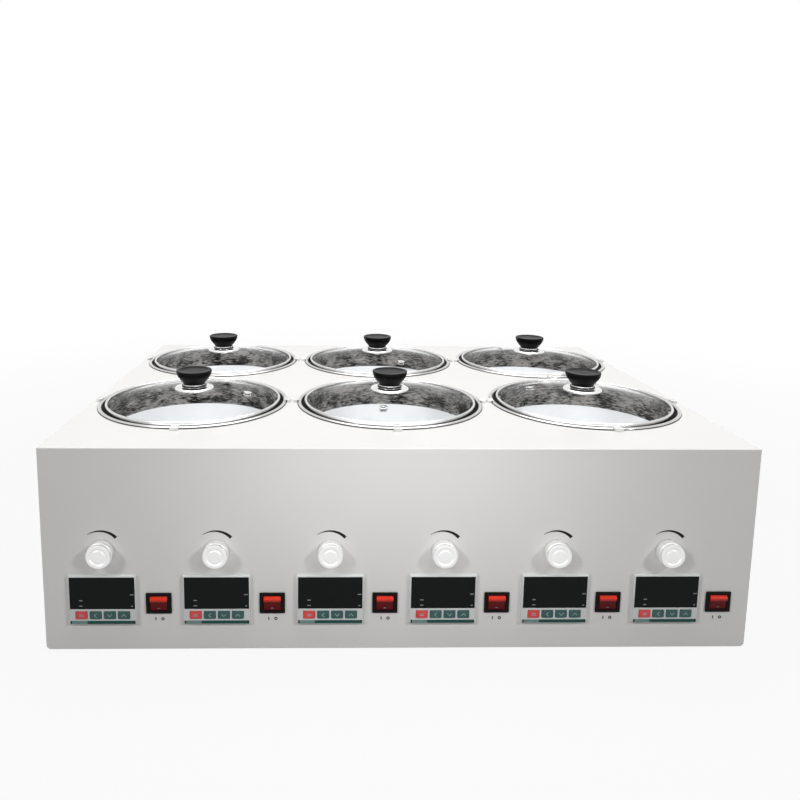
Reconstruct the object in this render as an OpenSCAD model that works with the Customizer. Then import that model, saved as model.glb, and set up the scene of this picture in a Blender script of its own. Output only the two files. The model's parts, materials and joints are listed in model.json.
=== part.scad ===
// Water bath magnetic stirrer: six lidded baths in one cabinet, with a control station for each.
// Millimetres. +X right, the control panel faces -Y, +Z up. The origin is under the middle of the
// whole object, on the surface that its feet stand on.

/* [Cabinet] */
// Thickness of the folded sheet
sheet_t = 1.5; // [1:0.1:2.5]
// Gap between the skirt's lower edge and the table
foot_gap = 4; // [2:0.5:20]
// Height of the base plate above the skirt's lower edge
base_recess = 2.5; // [1:0.5:10]
// Radius of the lower corners of the front
corner_r = 5.5; // [4:0.5:8]
// Width of the inner lip that the base plate is screwed to
lip_w = 14; // [6:1:25]
// Deck left between an outer clip and the side face
side_deck = 5.5; // [4:0.5:60]
// Deck left between a front clip and the front face
front_deck = 64.5; // [30:0.5:150]
// Deck left between a back clip and the back face
back_deck = 4.5; // [4:0.5:100]

/* [Baths] */
// Inside radius of a pot
pot_r = 118; // [90:1:150]
// Depth of a pot below the deck
pot_depth = 102; // [70:1:160]
// Wall thickness of a pot
pot_t = 1; // [0.6:0.1:2]
// Radius of the bend between a pot's wall and its floor
pot_bend = 10; // [4:1:25]
// Width of the ledge that carries the lid
ledge_w = 9; // [7:0.5:14]
// Depth of the ledge below the deck
ledge_drop = 1; // [0.5:0.1:3]
// Width of the rolled rim that rests on the deck
rim_w = 6; // [4:0.5:10]
// Reach of a clip past the rim
clip_reach = 5.5; // [4:0.5:12]
// Width of a clip
clip_w = 11; // [6:0.5:20]
// Thickness of a clip
clip_t = 1.5; // [1:0.1:3]
// Gap between the clips of neighbouring baths
bath_gap = 4; // [2:0.5:60]

/* [Lids] */
// Rise of the glass from its edge to its crown
lid_rise = 14.5; // [10:0.5:35]
// Thickness of the glass
glass_t = 4; // [3:0.1:6]
// Width of the steel ring round the glass
ring_w = 3.5; // [2:0.1:5]
// Gap between the ring and the pot's rim
ring_gap = 4.3; // [1:0.1:6]
// Radius of the collar dish under the knob
collar_r = 27.5; // [20:0.5:40]
// Height of the collar dish
collar_h = 8; // [2:0.5:12]
// Radius of the knob's top
grip_r = 25; // [18:0.5:35]
// Radius of the knob's foot
grip_foot_r = 15.5; // [12:0.5:17.5]
// Height of the knob
grip_h = 19.5; // [15:0.5:40]
// Radius of the screw that holds the knob
lid_screw_r = 3; // [2:0.5:4]
// Distance of the vent eyelet from the lid's axis
vent_r = 76; // [45:1:80]

/* [Stirring and heating] */
// Height of a motor bracket
bracket_h = 52; // [20:1:100]
// Radius of a motor
motor_r = 32; // [20:1:45]
// Height of a motor
motor_h = 62; // [40:1:90]
// Radius of a motor shaft
shaft_r = 4; // [2.5:0.25:6]
// Radius swept by the drive magnets
magnet_sweep = 40; // [28:1:60]
// Radius of a drive magnet
magnet_r = 8; // [5:0.5:9]
// Height of a drive magnet
magnet_h = 6; // [3:0.5:12]
// Width of a heater ring
heater_w = 58; // [20:1:60]
// Thickness of a heater ring
heater_t = 8; // [4:0.5:15]
// Radius of a temperature probe
probe_r = 1.5; // [1:0.25:5]
// Reach of a temperature probe into the pot
probe_reach = 33; // [20:1:34]
// Height of a temperature probe above the bend at the pot's floor
probe_rise = 17; // [10:1:40]

/* [Controllers] */
// Width of a controller's bezel
ctrl_w = 80; // [70:0.5:110]
// Height of the row of keys under the window
key_area = 19.4; // [18.6:0.2:30]
// How far the bezel stands out of the panel
ctrl_out = 4.5; // [4:0.5:15]
// Height of the bezel above the skirt's lower edge
ctrl_rise = 35; // [12:0.1:60]
// Overlap of the bezel on the panel
ctrl_lap = 3; // [2:0.5:6]
// Depth of a controller's case behind the panel
case_depth = 78; // [40:1:82]
// Wall of a controller's case
case_t = 2; // [1.2:0.1:3]
// Height of the window
window_h = 40.2; // [20:0.2:44]
// Frame left beside the window
window_side = 1.5; // [1.5:0.1:6]
// Frame left over the window
window_top = 1.6; // [1.5:0.1:6]
// Thickness of the window
window_t = 2; // [1:0.1:3]
// Width of a key
key_w = 13.8; // [9:0.1:14.5]
// Height of a key
key_h = 9.5; // [5:0.1:10]
// Height of a key's centre above the bezel's lower edge
key_rise = 11.9; // [9:0.1:13]
// Distance from key to key
key_pitch = 16.7; // [16:0.1:18]
// How far a key stands out of the bezel
key_out = 1; // [0.9:0.1:2]
// Travel of a key
key_travel = 0.8; // [0.4:0.1:1.2]

/* [Switches] */
// Gap between a controller and its switch
switch_gap = 10.5; // [4:0.5:30]
// Width of a switch bezel
switch_w = 30.5; // [30:0.5:40]
// Height of a switch bezel
switch_h = 26; // [25.4:0.2:34]
// How far a switch bezel stands out of the panel
switch_out = 2; // [1:0.1:4]
// Height of a switch's centre above the skirt's lower edge
switch_rise = 59.9; // [25:0.1:90]
// Depth of a switch housing behind the panel
switch_depth = 24; // [19:0.5:40]
// Width of a rocker
rocker_w = 20.5; // [14:0.1:22]
// Radius of a rocker about its pin
rocker_r = 10.6; // [8:0.1:10.8]
// Full throw of a rocker in degrees
rocker_throw = 24; // [16:1:28]
// Radius of a rocker's pin
rocker_pin_r = 1.5; // [1:0.1:2]

/* [Speed knobs] */
// Gap between a switch and the next controller
station_gap = 14.2; // [5:0.1:40]
// Shift of the row of stations from the middle of the panel
station_shift = 4; // [-8:0.5:8]
// Height of a knob's axis above its controller
knob_rise = 28.5; // [22:0.5:60]
// Radius of a knob at the panel
knob_r = 15.25; // [12:0.25:20]
// Radius of a knob's face
knob_face_r = 14.2; // [12:0.1:15.5]
// How far a knob reaches out of the panel
knob_reach = 14; // [14:0.5:40]
// Length of a knob's narrower front
knob_cap = 5; // [4:0.5:11]
// Radius of a knob's shaft
spindle_r = 3; // [2:0.25:3.5]
// Radius of the speed control behind the panel
dial_body_r = 12; // [8:0.5:15]

/* [Feet and supply] */
// Radius of a foot
foot_r = 18; // [10:0.5:30]
// Distance of a foot's axis from the cabinet's faces
foot_inset = 55; // [40:1:120]
// Radius of the hole for the supply cord
cord_r = 6; // [3:0.25:8]
// How far the cord gland reaches out of the back
gland_reach = 26; // [20:1:40]
// Distance of the cord gland from the cabinet's left side
gland_side = 125; // [45:5:805]
// Height of the cord gland above the skirt's lower edge
gland_rise = 45; // [25:1:100]

/* [Fits] */
// Running clearance of a shaft or pin
run_gap = 0.05; // [0.02:0.01:0.1]
// Gap round a piece that moves
move_gap = 0.3; // [0.2:0.05:0.6]
// Gap between pieces that are fixed together
seat_gap = 0.1; // [0.05:0.05:0.2]
// Gap round a body in its panel cut-out
cut_gap = 0.3; // [0.1:0.05:0.8]

/* [Hidden] */
$fn = 96;
eps = 0.5;

// Counts
columns = 3;
bath_count = 6;
station_count = 6;
key_names = ["set", "shift", "down", "up"];
key_colours = ["crimson", "darkslategray", "darkslategray", "darkslategray"];
// Turn at which each lid was put down
vent_turns = [0, -101, 150, 35, -60, 120];

// Radii of a bath, from the pot outwards
ledge_r = pot_r + ledge_w;
rim_r = ledge_r + rim_w;
clip_r = rim_r + clip_reach;
deck_hole_r = ledge_r + pot_t + cut_gap;
bath_pitch = 2 * clip_r + bath_gap;

// Row of control stations
station_w = ctrl_w + switch_gap + switch_w;
station_pitch = station_w + station_gap;
row_w = (station_count - 1) * station_pitch + station_w;
row_edge = 20;
row_margin = row_edge + abs(station_shift);

// Cabinet
bath_w = (columns - 1) * bath_pitch + 2 * (clip_r + side_deck);
body_w = max(bath_w, row_w + 2 * row_margin);
body_d = 2 * clip_r + bath_pitch + front_deck + back_deck;
front_y = (knob_reach - body_d - gland_reach) / 2;
back_y = front_y + body_d;
skirt_z = foot_gap;
base_z = skirt_z + base_recess;
base_top = base_z + sheet_t;

// Stack from the base plate up to the deck
motor_z = base_top + bracket_h;
hub_gap = 4;
hub_h = 10;
yoke_h = 6;
magnet_gap = 5;
yoke_z = motor_z + motor_h + hub_gap + hub_h;
magnet_z = yoke_z + yoke_h + seat_gap;
pot_under = magnet_z + magnet_h + magnet_gap;
floor_z = pot_under + pot_t;
deck_z = floor_z + pot_depth;
ledge_z = deck_z - ledge_drop;

// Lid
ring_r = ledge_r - ring_gap;
glass_r = ring_r - ring_w;
ring_z = ledge_z + move_gap;
ring_lip_t = 0.6;
ring_lip_w = 4;
glass_z = ring_z + ring_lip_t + seat_gap;
dome_r = (glass_r * glass_r + lid_rise * lid_rise) / (2 * lid_rise);
glass_edge_h = dome_drop(dome_r - glass_t, glass_r) - dome_drop(dome_r, glass_r) + glass_t;
crown_z = glass_z + glass_edge_h + lid_rise;
collar_z = crown_z + seat_gap;
collar_t = 1.2;
grip_z = collar_z + collar_h + seat_gap;
grip_top = grip_z + grip_h;
vent_hole_r = 4;

// Control panel
panel_face = front_y - ctrl_out;
ctrl_z = skirt_z + ctrl_rise;
ctrl_h = key_area + window_h + window_top;
key_depth = 3;
window_z = ctrl_z + key_area;
window_w = ctrl_w - 2 * window_side;
case_w = ctrl_w - 2 * ctrl_lap;
case_h = ctrl_h - 2 * ctrl_lap;
case_z = ctrl_z + ctrl_lap;
switch_dx = ctrl_w / 2 + switch_gap + switch_w / 2;
switch_z = skirt_z + switch_rise;
switch_lap_x = 2;
switch_lap_z = 1;
switch_body_w = switch_w - 2 * switch_lap_x;
switch_body_h = switch_h - 2 * switch_lap_z;
rocker_half = rocker_throw / 2;
rocker_valley = 6;
rocker_back = 3;
rocker_sink = 0.5;
rocker_y = front_y + rocker_valley - switch_out + rocker_sink;
rocker_pin_l = 1.6;
knob_z = ctrl_z + ctrl_h + knob_rise;
knob_clear = 0.8;
knob_step = knob_reach - knob_cap;
bush_t = 1.5;
bush_r = spindle_r + bush_t;
nut_w = 3.5;
nut_r = bush_r + nut_w;
nut_t = 2.5;
bush_end = 2;
bush_out = nut_t + bush_end;
dial_body_l = 16;

// Heater and probe
heater_clear = 6;
heater_r0 = magnet_sweep + heater_clear;
heater_r1 = heater_r0 + heater_w;
probe_z = floor_z + pot_bend + probe_rise;
probe_nut_w = 4;
probe_nut_r = probe_r + probe_nut_w;
probe_nut_t = 4;
probe_tail = 12;

// Cord gland
gland_x = gland_side - body_w / 2;
gland_z = skirt_z + gland_rise;
gland_t = 4;
gland_body_r = cord_r + gland_t;
gland_hex_r = gland_body_r + gland_t;
gland_hex_t = 7;

// Slots in the back that let warm air out
slot_w = 3;
slot_h = 50;
slot_count = 9;
slot_pitch = 12;
slot_rise = 15;
slot_z = gland_z + gland_hex_r + slot_rise;
slot_group_x = body_w / 5;

// Motor brackets, feet and their screws
bracket_t = 2;
bracket_side = 8;
bracket_step = 7;
bracket_w = 2 * (motor_r + bracket_side);
bracket_d = 2 * (motor_r - bracket_step);
bearing_l = 30;
base_w = body_w - 2 * corner_r - 2 * cut_gap;
foot_xs = [-body_w / 2 + foot_inset, body_w / 2 - foot_inset];
foot_ys = [front_y + foot_inset, back_y - foot_inset];
foot_screw_r = 2.5;
foot_well_r = 2 * foot_screw_r + 2;
foot_wall = 2.5;
foot_screw_grip = 6;

// Knob on a lid
grip_edge = 2;
grip_bevel = 1;
grip_rim = 2;
grip_dish = 1;
grip_steps = 8;
grip_flare = 1.3;
grip_bore_l = 0.6 * grip_h;
collar_lap = 2;
collar_steps = 6;
washer_t = 0.17 * collar_h;

// Places
function bath_x(i) = (i % columns - (columns - 1) / 2) * bath_pitch;
function bath_y(i) = front_y + front_deck + clip_r + floor(i / columns) * bath_pitch;
function station_x(i) = station_shift - row_w / 2 + ctrl_w / 2 + i * station_pitch;
function key_x(k) = (k - (len(key_names) - 1) / 2) * key_pitch;
// Fall of a dome of a given radius from its crown to a distance from its axis
function dome_drop(dome, r) = dome - sqrt(dome * dome - r * r);

module at_bath(i) {
    translate([bath_x(i), bath_y(i), 0]) children();
}

module at_baths() {
    for (i = [0 : bath_count - 1]) at_bath(i) children();
}

module at_station(i) {
    translate([station_x(i), 0, 0]) children();
}

module at_stations() {
    for (i = [0 : station_count - 1]) at_station(i) children();
}

// A shape drawn along +Z, turned to lie along +Y from a point
module along_y(y, z) {
    translate([0, y, z]) rotate([-90, 0, 0]) children();
}

// A box centred on X, from front to back and from bottom to top
module slab(w, y0, y1, z0, z1) {
    translate([-w / 2, y0, z0]) cube([w, y1 - y0, z1 - z0]);
}

module tube(r_out, r_in, h) {
    difference() {
        cylinder(r = r_out, h = h);
        translate([0, 0, -eps]) cylinder(r = r_in, h = h + 2 * eps);
    }
}

module hex_nut(r_out, r_in, h) {
    difference() {
        cylinder(r = r_out, h = h, $fn = 6);
        translate([0, 0, -eps]) cylinder(r = r_in, h = h + 2 * eps);
    }
}

// The cabinet seen from the front, with rounded lower corners
module front_outline(inset) {
    w = body_w - 2 * inset;
    r = corner_r - inset;
    z0 = skirt_z + inset;
    z1 = deck_z - inset;
    translate([-w / 2, z0 + r]) square([w, z1 - z0 - r]);
    translate([-w / 2 + r, z0]) square([w - 2 * r, 2 * r]);
    for (side = [-1, 1]) translate([side * (w / 2 - r), z0 + r]) circle(r);
}

module front_prism(inset, y0, y1) {
    translate([0, y1, 0]) rotate([90, 0, 0]) linear_extrude(y1 - y0) front_outline(inset);
}

// Two groups of narrow slots in the back, above the cord gland
module back_vents() {
    for (side = [-1, 1], k = [0 : slot_count - 1])
        translate([side * slot_group_x + (k - (slot_count - 1) / 2) * slot_pitch, 0, 0])
            slab(slot_w, back_y - sheet_t - eps, back_y + eps, slot_z, slot_z + slot_h);
}

// Frame folded inwards round the bottom, for the base plate's screws
module base_lip() {
    w = body_w - 2 * sheet_t;
    y0 = front_y + sheet_t;
    y1 = back_y - sheet_t;
    difference() {
        slab(w, y0, y1, base_top, base_top + sheet_t);
        slab(w - 2 * lip_w, y0 + lip_w, y1 - lip_w, base_top - eps, base_top + sheet_t + eps);
    }
}

module panel_cuts() {
    y0 = front_y - eps;
    y1 = front_y + sheet_t + eps;
    at_stations() {
        translate([0, 0, case_z])
            slab(case_w + 2 * cut_gap, y0, y1, -cut_gap, case_h + cut_gap);
        translate([switch_dx, 0, switch_z])
            slab(switch_body_w + 2 * cut_gap, y0, y1,
                 -switch_body_h / 2 - cut_gap, switch_body_h / 2 + cut_gap);
        along_y(y0, knob_z) cylinder(r = bush_r + cut_gap, h = y1 - y0);
    }
}

module cabinet() {
    color("whitesmoke") {
        difference() {
            front_prism(0, front_y, back_y);
            front_prism(sheet_t, front_y + sheet_t, back_y - sheet_t);
            slab(body_w - 2 * corner_r, front_y + sheet_t, back_y - sheet_t, skirt_z - eps, base_top);
            at_baths() translate([0, 0, deck_z - sheet_t - eps])
                cylinder(r = deck_hole_r, h = sheet_t + 2 * eps);
            panel_cuts();
            back_vents();
            translate([gland_x, 0, 0]) along_y(back_y - sheet_t - eps, gland_z)
                cylinder(r = gland_body_r + cut_gap, h = sheet_t + 2 * eps);
        }
        intersection() {
            base_lip();
            front_prism(sheet_t / 2, front_y, back_y);
        }
    }
}

// Folded bracket with two legs and a shelf for the motor
module motor_bracket() {
    for (side = [-1, 1])
        translate([side * (bracket_w - bracket_t) / 2, 0, 0])
            slab(bracket_t, -bracket_d / 2, bracket_d / 2, base_top - sheet_t / 2, motor_z - seat_gap);
    slab(bracket_w, -bracket_d / 2, bracket_d / 2, motor_z - seat_gap - bracket_t, motor_z - seat_gap);
}

module at_feet() {
    for (x = foot_xs, y = foot_ys) translate([x, y, 0]) children();
}

module base_plate() {
    color("silver") difference() {
        union() {
            slab(base_w, front_y + sheet_t + cut_gap, back_y - sheet_t - cut_gap, base_z, base_top);
            at_baths() motor_bracket();
        }
        at_feet() translate([0, 0, base_z - eps])
            cylinder(r = foot_screw_r + seat_gap, h = sheet_t + 2 * eps);
    }
}

// Rubber foot under the base plate, with its screw in a well
module foot() {
    difference() {
        cylinder(r = foot_r, h = base_z);
        translate([0, 0, -eps]) cylinder(r = foot_screw_r + seat_gap, h = base_z + 2 * eps);
        translate([0, 0, -eps]) cylinder(r = foot_well_r, h = base_z - foot_wall + eps);
    }
    head_t = 2;
    head_z = base_z - foot_wall - seat_gap;
    screw_l = foot_wall + sheet_t + foot_screw_grip;
    translate([0, 0, head_z - head_t]) cylinder(r = 2 * foot_screw_r, h = head_t);
    translate([0, 0, head_z - head_t / 2]) cylinder(r = foot_screw_r, h = screw_l);
}

module feet() {
    color("dimgray") at_feet() foot();
}

// Half section of a pot: floor, bend, wall, ledge and rolled rim
module pot_section() {
    bend_out = pot_bend + pot_t;
    translate([0, pot_under]) square([pot_r - pot_bend, pot_t]);
    translate([pot_r, pot_under + bend_out]) square([pot_t, ledge_z - pot_under - bend_out]);
    intersection() {
        translate([pot_r - pot_bend, pot_under + bend_out]) difference() {
            circle(bend_out);
            circle(pot_bend);
        }
        translate([pot_r - pot_bend, pot_under]) square([bend_out, bend_out]);
    }
    translate([pot_r, ledge_z - pot_t]) square([ledge_w + pot_t, pot_t]);
    translate([ledge_r, ledge_z - pot_t]) square([pot_t, ledge_drop + pot_t + rim_w / 4]);
    intersection() {
        translate([ledge_r + rim_w / 2, deck_z]) circle(rim_w / 2);
        translate([ledge_r, deck_z]) square([rim_w, rim_w]);
    }
}

// Small clip on the deck, with a lip over the rim
module rim_clip() {
    lip_z = deck_z + rim_w / 2 + seat_gap;
    translate([rim_r + seat_gap, 0, 0])
        translate([0, -clip_w / 2, deck_z]) cube([clip_reach - seat_gap, clip_w, lip_z + clip_t - deck_z]);
    translate([rim_r - rim_w / 2, -clip_w / 2, lip_z]) cube([rim_w / 2 + clip_reach, clip_w, clip_t]);
}

module bath_pots() {
    color("gainsboro") at_baths() {
        difference() {
            rotate_extrude($fn = 180) pot_section();
            along_y(pot_r - pot_bend, probe_z) cylinder(r = probe_r + seat_gap, h = 3 * pot_bend);
        }
        for (turn = [0 : 90 : 270]) rotate(turn) rim_clip();
    }
}

// Flat ring heater held up against the pot's floor, with two terminal studs
module heater_plates() {
    stud_l = 8;
    stud_r = 2.5;
    stud_x = 12;
    stud_y = heater_r1 - 4 * stud_r;
    color("dimgray") at_baths() translate([0, 0, pot_under - seat_gap - heater_t]) {
        tube(heater_r1, heater_r0, heater_t);
        for (side = [-1, 1])
            translate([side * stud_x, stud_y, -stud_l]) cylinder(r = stud_r, h = stud_l + heater_t / 2);
    }
}

// Straight probe through the pot's back wall, with a nut on each side of the wall
module temperature_probes() {
    sag = probe_nut_r * probe_nut_r / pot_r;
    inner_y = pot_r - sag - seat_gap - probe_nut_t;
    outer_y = pot_r + pot_t + seat_gap;
    color("darkgray") at_baths() {
        along_y(pot_r - probe_reach, probe_z) cylinder(r = probe_r, h = probe_reach + pot_t + probe_tail);
        for (y = [inner_y, outer_y])
            along_y(y, probe_z) hex_nut(probe_nut_r, probe_r + seat_gap, probe_nut_t);
    }
}

module stirrer_motors() {
    boss_h = 2;
    color("slategray") at_baths() difference() {
        union() {
            translate([0, 0, motor_z]) cylinder(r = motor_r, h = motor_h - boss_h);
            translate([0, 0, motor_z]) cylinder(r = 3 * shaft_r, h = motor_h);
        }
        translate([0, 0, motor_z + motor_h - bearing_l])
            cylinder(r = shaft_r + run_gap, h = bearing_l + eps);
    }
}

// Shaft, hub and yoke in one piece, with two magnets on the yoke
module drive_magnet(i) {
    margin = 1;
    magnet_x = magnet_sweep - magnet_r - margin;
    yoke_w = 2 * (magnet_r + margin);
    color("lightsteelblue") at_bath(i) {
        translate([0, 0, motor_z + motor_h - bearing_l + move_gap])
            cylinder(r = shaft_r, h = yoke_z + yoke_h / 2 - motor_z - motor_h + bearing_l - move_gap);
        translate([0, 0, yoke_z - hub_h]) cylinder(r = 2.5 * shaft_r, h = hub_h + yoke_h / 2);
        intersection() {
            slab(2 * magnet_sweep, -yoke_w / 2, yoke_w / 2, yoke_z, yoke_z + yoke_h);
            translate([0, 0, yoke_z]) cylinder(r = magnet_sweep, h = yoke_h);
        }
        for (side = [-1, 1])
            translate([side * magnet_x, 0, magnet_z]) cylinder(r = magnet_r, h = magnet_h);
    }
}

// Half section of the glass dome
module glass_section() {
    intersection() {
        translate([0, crown_z - dome_r]) difference() {
            circle(dome_r, $fn = 720);
            circle(dome_r - glass_t, $fn = 720);
        }
        translate([lid_screw_r + seat_gap, glass_z - glass_t])
            square([glass_r - seat_gap - lid_screw_r - seat_gap, lid_rise + 3 * glass_t]);
    }
}

// Steel ring round the glass, with a lip under its edge and a rounded top
module ring_section() {
    ring_top = glass_z + glass_edge_h;
    translate([glass_r, ring_z]) square([ring_w, ring_top - ring_z]);
    translate([glass_r - ring_lip_w, ring_z]) square([ring_lip_w + ring_w / 2, ring_lip_t]);
    translate([glass_r + ring_w / 2, ring_top]) circle(ring_w / 2);
}

// Half section of the collar: a flat brim, a shoulder that rounds up to a seal, and a washer under the knob
module collar_section() {
    r0 = lid_screw_r + seat_gap;
    neck_r = grip_foot_r + collar_lap;
    washer_r = grip_foot_r + collar_lap / 2;
    top_z = collar_z + collar_h;
    climb = collar_h - collar_t - 2 * washer_t;
    shoulder = [for (k = [0 : collar_steps])
        let (a = 90 * k / collar_steps)
        [neck_r + (collar_r - neck_r) * cos(a), collar_z + collar_t + climb * sin(a)]];
    polygon(concat(
        [[r0, collar_z], [collar_r, collar_z]], shoulder,
        [[neck_r, top_z - washer_t], [washer_r, top_z - washer_t], [washer_r, top_z], [r0, top_z]]
    ));
}

// Half section of the knob: sides that flare from the foot to the top edge, and a dished top
module grip_section() {
    edge_z = grip_top - grip_edge;
    r0 = lid_screw_r + seat_gap;
    side = [for (k = [0 : grip_steps])
        let (a = 90 * k / grip_steps)
        [grip_foot_r + (grip_r - grip_foot_r) * pow(sin(a), grip_flare), grip_z + (edge_z - grip_z) * a / 90]];
    polygon(concat(
        [[r0, grip_z]], side,
        [[grip_r, grip_top - grip_bevel], [grip_r - grip_bevel, grip_top],
         [grip_r - grip_bevel - grip_rim, grip_top],
         [grip_r - grip_bevel - 2 * grip_rim, grip_top - grip_dish], [0, grip_top - grip_dish],
         [0, grip_z + grip_bore_l], [r0, grip_z + grip_bore_l]]
    ));
}

// Screw from under the glass, through the collar and into the knob
module lid_screw() {
    head_t = 2.5;
    head_z = crown_z - glass_t - 2 * seat_gap - head_t;
    translate([0, 0, head_z]) cylinder(r = 3 * lid_screw_r, h = head_t);
    translate([0, 0, head_z + head_t / 2])
        cylinder(r = lid_screw_r, h = grip_z + grip_bore_l - head_z - head_t / 2 - seat_gap);
}

// A place on the lid's glass at the vent, with +Z square to the glass
module at_vent() {
    translate([0, 0, crown_z - dome_r])
        rotate([0, asin(vent_r / dome_r), 0]) translate([0, 0, dome_r]) children();
}

module vent_eyelet() {
    flange_w = 1.8;
    flange_t = 0.8;
    flange_r = vent_hole_r + flange_w;
    sag = flange_r * flange_r / dome_r;
    difference() {
        union() {
            translate([0, 0, -glass_t - sag - flange_t])
                cylinder(r = vent_hole_r - seat_gap, h = glass_t + sag + 2 * flange_t);
            translate([0, 0, seat_gap]) cylinder(r = flange_r, h = flange_t);
            translate([0, 0, -glass_t - sag - flange_t]) cylinder(r = flange_r, h = flange_t);
        }
        translate([0, 0, -2 * glass_t]) cylinder(r = vent_hole_r / 2, h = 4 * glass_t);
    }
}

module lid(i) {
    color("lightcyan") at_bath(i) {
        difference() {
            rotate_extrude($fn = 180) glass_section();
            rotate(vent_turns[i]) at_vent() translate([0, 0, -2 * glass_t])
                cylinder(r = vent_hole_r, h = 4 * glass_t);
        }
        rotate(vent_turns[i]) at_vent() vent_eyelet();
        rotate_extrude($fn = 180) ring_section();
        rotate_extrude() collar_section();
        rotate_extrude() grip_section();
        lid_screw();
    }
}

// Rear part of a controller behind the panel: a case open at the back
module case_shell() {
    difference() {
        slab(case_w, front_y - eps, front_y + case_depth, case_z, case_z + case_h);
        slab(case_w - 2 * case_t, front_y + case_t, front_y + case_depth + eps,
             case_z + case_t, case_z + case_h - case_t);
    }
}

module controller_cases() {
    pocket = key_depth + key_travel + move_gap;
    color("lightgray") at_stations() difference() {
        union() {
            slab(ctrl_w, panel_face, front_y, ctrl_z, ctrl_z + ctrl_h);
            case_shell();
        }
        slab(window_w, panel_face - eps, panel_face + window_t, window_z, window_z + window_h);
        for (k = [0 : len(key_names) - 1]) translate([key_x(k), 0, ctrl_z + key_rise])
            slab(key_w + 2 * move_gap, panel_face - eps, panel_face + pocket,
                 -key_h / 2 - move_gap, key_h / 2 + move_gap);
    }
}

// Black windows, let into the bezels
module controller_windows() {
    color("black") at_stations()
        slab(window_w - 2 * seat_gap, panel_face + seat_gap, panel_face + window_t - seat_gap,
             window_z + seat_gap, window_z + window_h - seat_gap);
}

module control_key(i, k) {
    color(key_colours[k]) at_station(i) translate([key_x(k), 0, ctrl_z + key_rise])
        slab(key_w, panel_face - key_out, panel_face + key_depth, -key_h / 2, key_h / 2);
}

module at_switch(i) {
    at_station(i) translate([switch_dx, rocker_y, switch_z]) children();
}

module along_x(l) {
    rotate([0, 90, 0]) translate([0, 0, -l / 2]) children();
}

// Black housing behind the panel, with a round seat for the rocker and a blind hole for each pin
module switch_housings() {
    body_y = front_y - rocker_y;
    seat_w = rocker_w + 2 * move_gap;
    color([0.1, 0.1, 0.1]) for (i = [0 : station_count - 1]) at_switch(i) difference() {
        union() {
            slab(switch_w, body_y - switch_out, body_y, -switch_h / 2, switch_h / 2);
            slab(switch_body_w, body_y - eps, body_y + switch_depth, -switch_body_h / 2, switch_body_h / 2);
        }
        along_x(seat_w) cylinder(r = rocker_r + move_gap, h = seat_w);
        along_x(seat_w + 2 * rocker_pin_l + 2 * move_gap)
            cylinder(r = rocker_pin_r + run_gap, h = seat_w + 2 * rocker_pin_l + 2 * move_gap);
    }
}

// Section of a rocker about its pin, with the front towards -X of the drawing
module rocker_section() {
    slope = tan(rocker_half);
    reach = 2 * rocker_r;
    intersection() {
        circle(rocker_r);
        polygon([
            [-rocker_valley, 0], [-rocker_valley - reach * slope, reach], [rocker_back, reach],
            [rocker_back, -reach], [-rocker_valley - reach * slope, -reach]
        ]);
    }
}

// Rocker at rest with its lower half pressed in and its upper half standing out
module rocker(i) {
    pin_span = rocker_w + 2 * rocker_pin_l;
    color("red") at_switch(i) rotate([rocker_half, 0, 0]) {
        rotate([90, 0, 90]) translate([0, 0, -rocker_w / 2]) linear_extrude(rocker_w) rocker_section();
        along_x(pin_span) cylinder(r = rocker_pin_r, h = pin_span);
    }
}

// Speed control behind the panel, with its bush, panel nut and three terminals
module speed_controls() {
    tag_w = 2;
    tag_t = 1;
    tag_l = 7;
    tag_pitch = 5;
    tag_y = front_y + sheet_t + dial_body_l / 4;
    color("darkslategray") at_stations() {
        difference() {
            union() {
                along_y(front_y + sheet_t, knob_z) cylinder(r = dial_body_r, h = dial_body_l);
                along_y(front_y - bush_out, knob_z) cylinder(r = bush_r, h = bush_out + sheet_t + eps);
                for (k = [-1 : 1]) translate([k * tag_pitch, 0, knob_z - dial_body_r])
                    slab(tag_w, tag_y, tag_y + tag_t, -tag_l, tag_w);
            }
            along_y(front_y - bush_out - eps, knob_z)
                cylinder(r = spindle_r + run_gap, h = bush_out + dial_body_l);
        }
        along_y(front_y - nut_t, knob_z) hex_nut(nut_r, bush_r + seat_gap, nut_t);
    }
}

// Half section of a speed knob, drawn from the panel outwards, with its shaft
module knob_section() {
    r_nut = nut_r + 1;
    well = bush_out + 1;
    edge = 1.5;
    face_w = 3.5;
    face_dip = 1;
    hub_r = knob_face_r - face_w - 3 * face_dip;
    soft = 0.5;
    polygon([
        [0, well], [r_nut, well], [r_nut, knob_clear],
        [knob_r - soft, knob_clear], [knob_r, knob_clear + soft],
        [knob_r - soft, knob_step - soft], [knob_face_r, knob_step], [knob_face_r, knob_reach - edge],
        [knob_face_r - edge, knob_reach], [knob_face_r - face_w, knob_reach],
        [knob_face_r - face_w - face_dip, knob_reach - face_dip], [hub_r, knob_reach - face_dip],
        [hub_r - face_dip / 2, knob_reach - face_dip / 2], [0, knob_reach - face_dip / 2]
    ]);
    translate([0, -sheet_t - dial_body_l / 2]) square([spindle_r, sheet_t + dial_body_l / 2 + well + eps]);
}

module speed_knob(i) {
    color("white") at_station(i) translate([0, front_y, knob_z])
        rotate([90, 0, 0]) rotate_extrude() knob_section();
}

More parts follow.
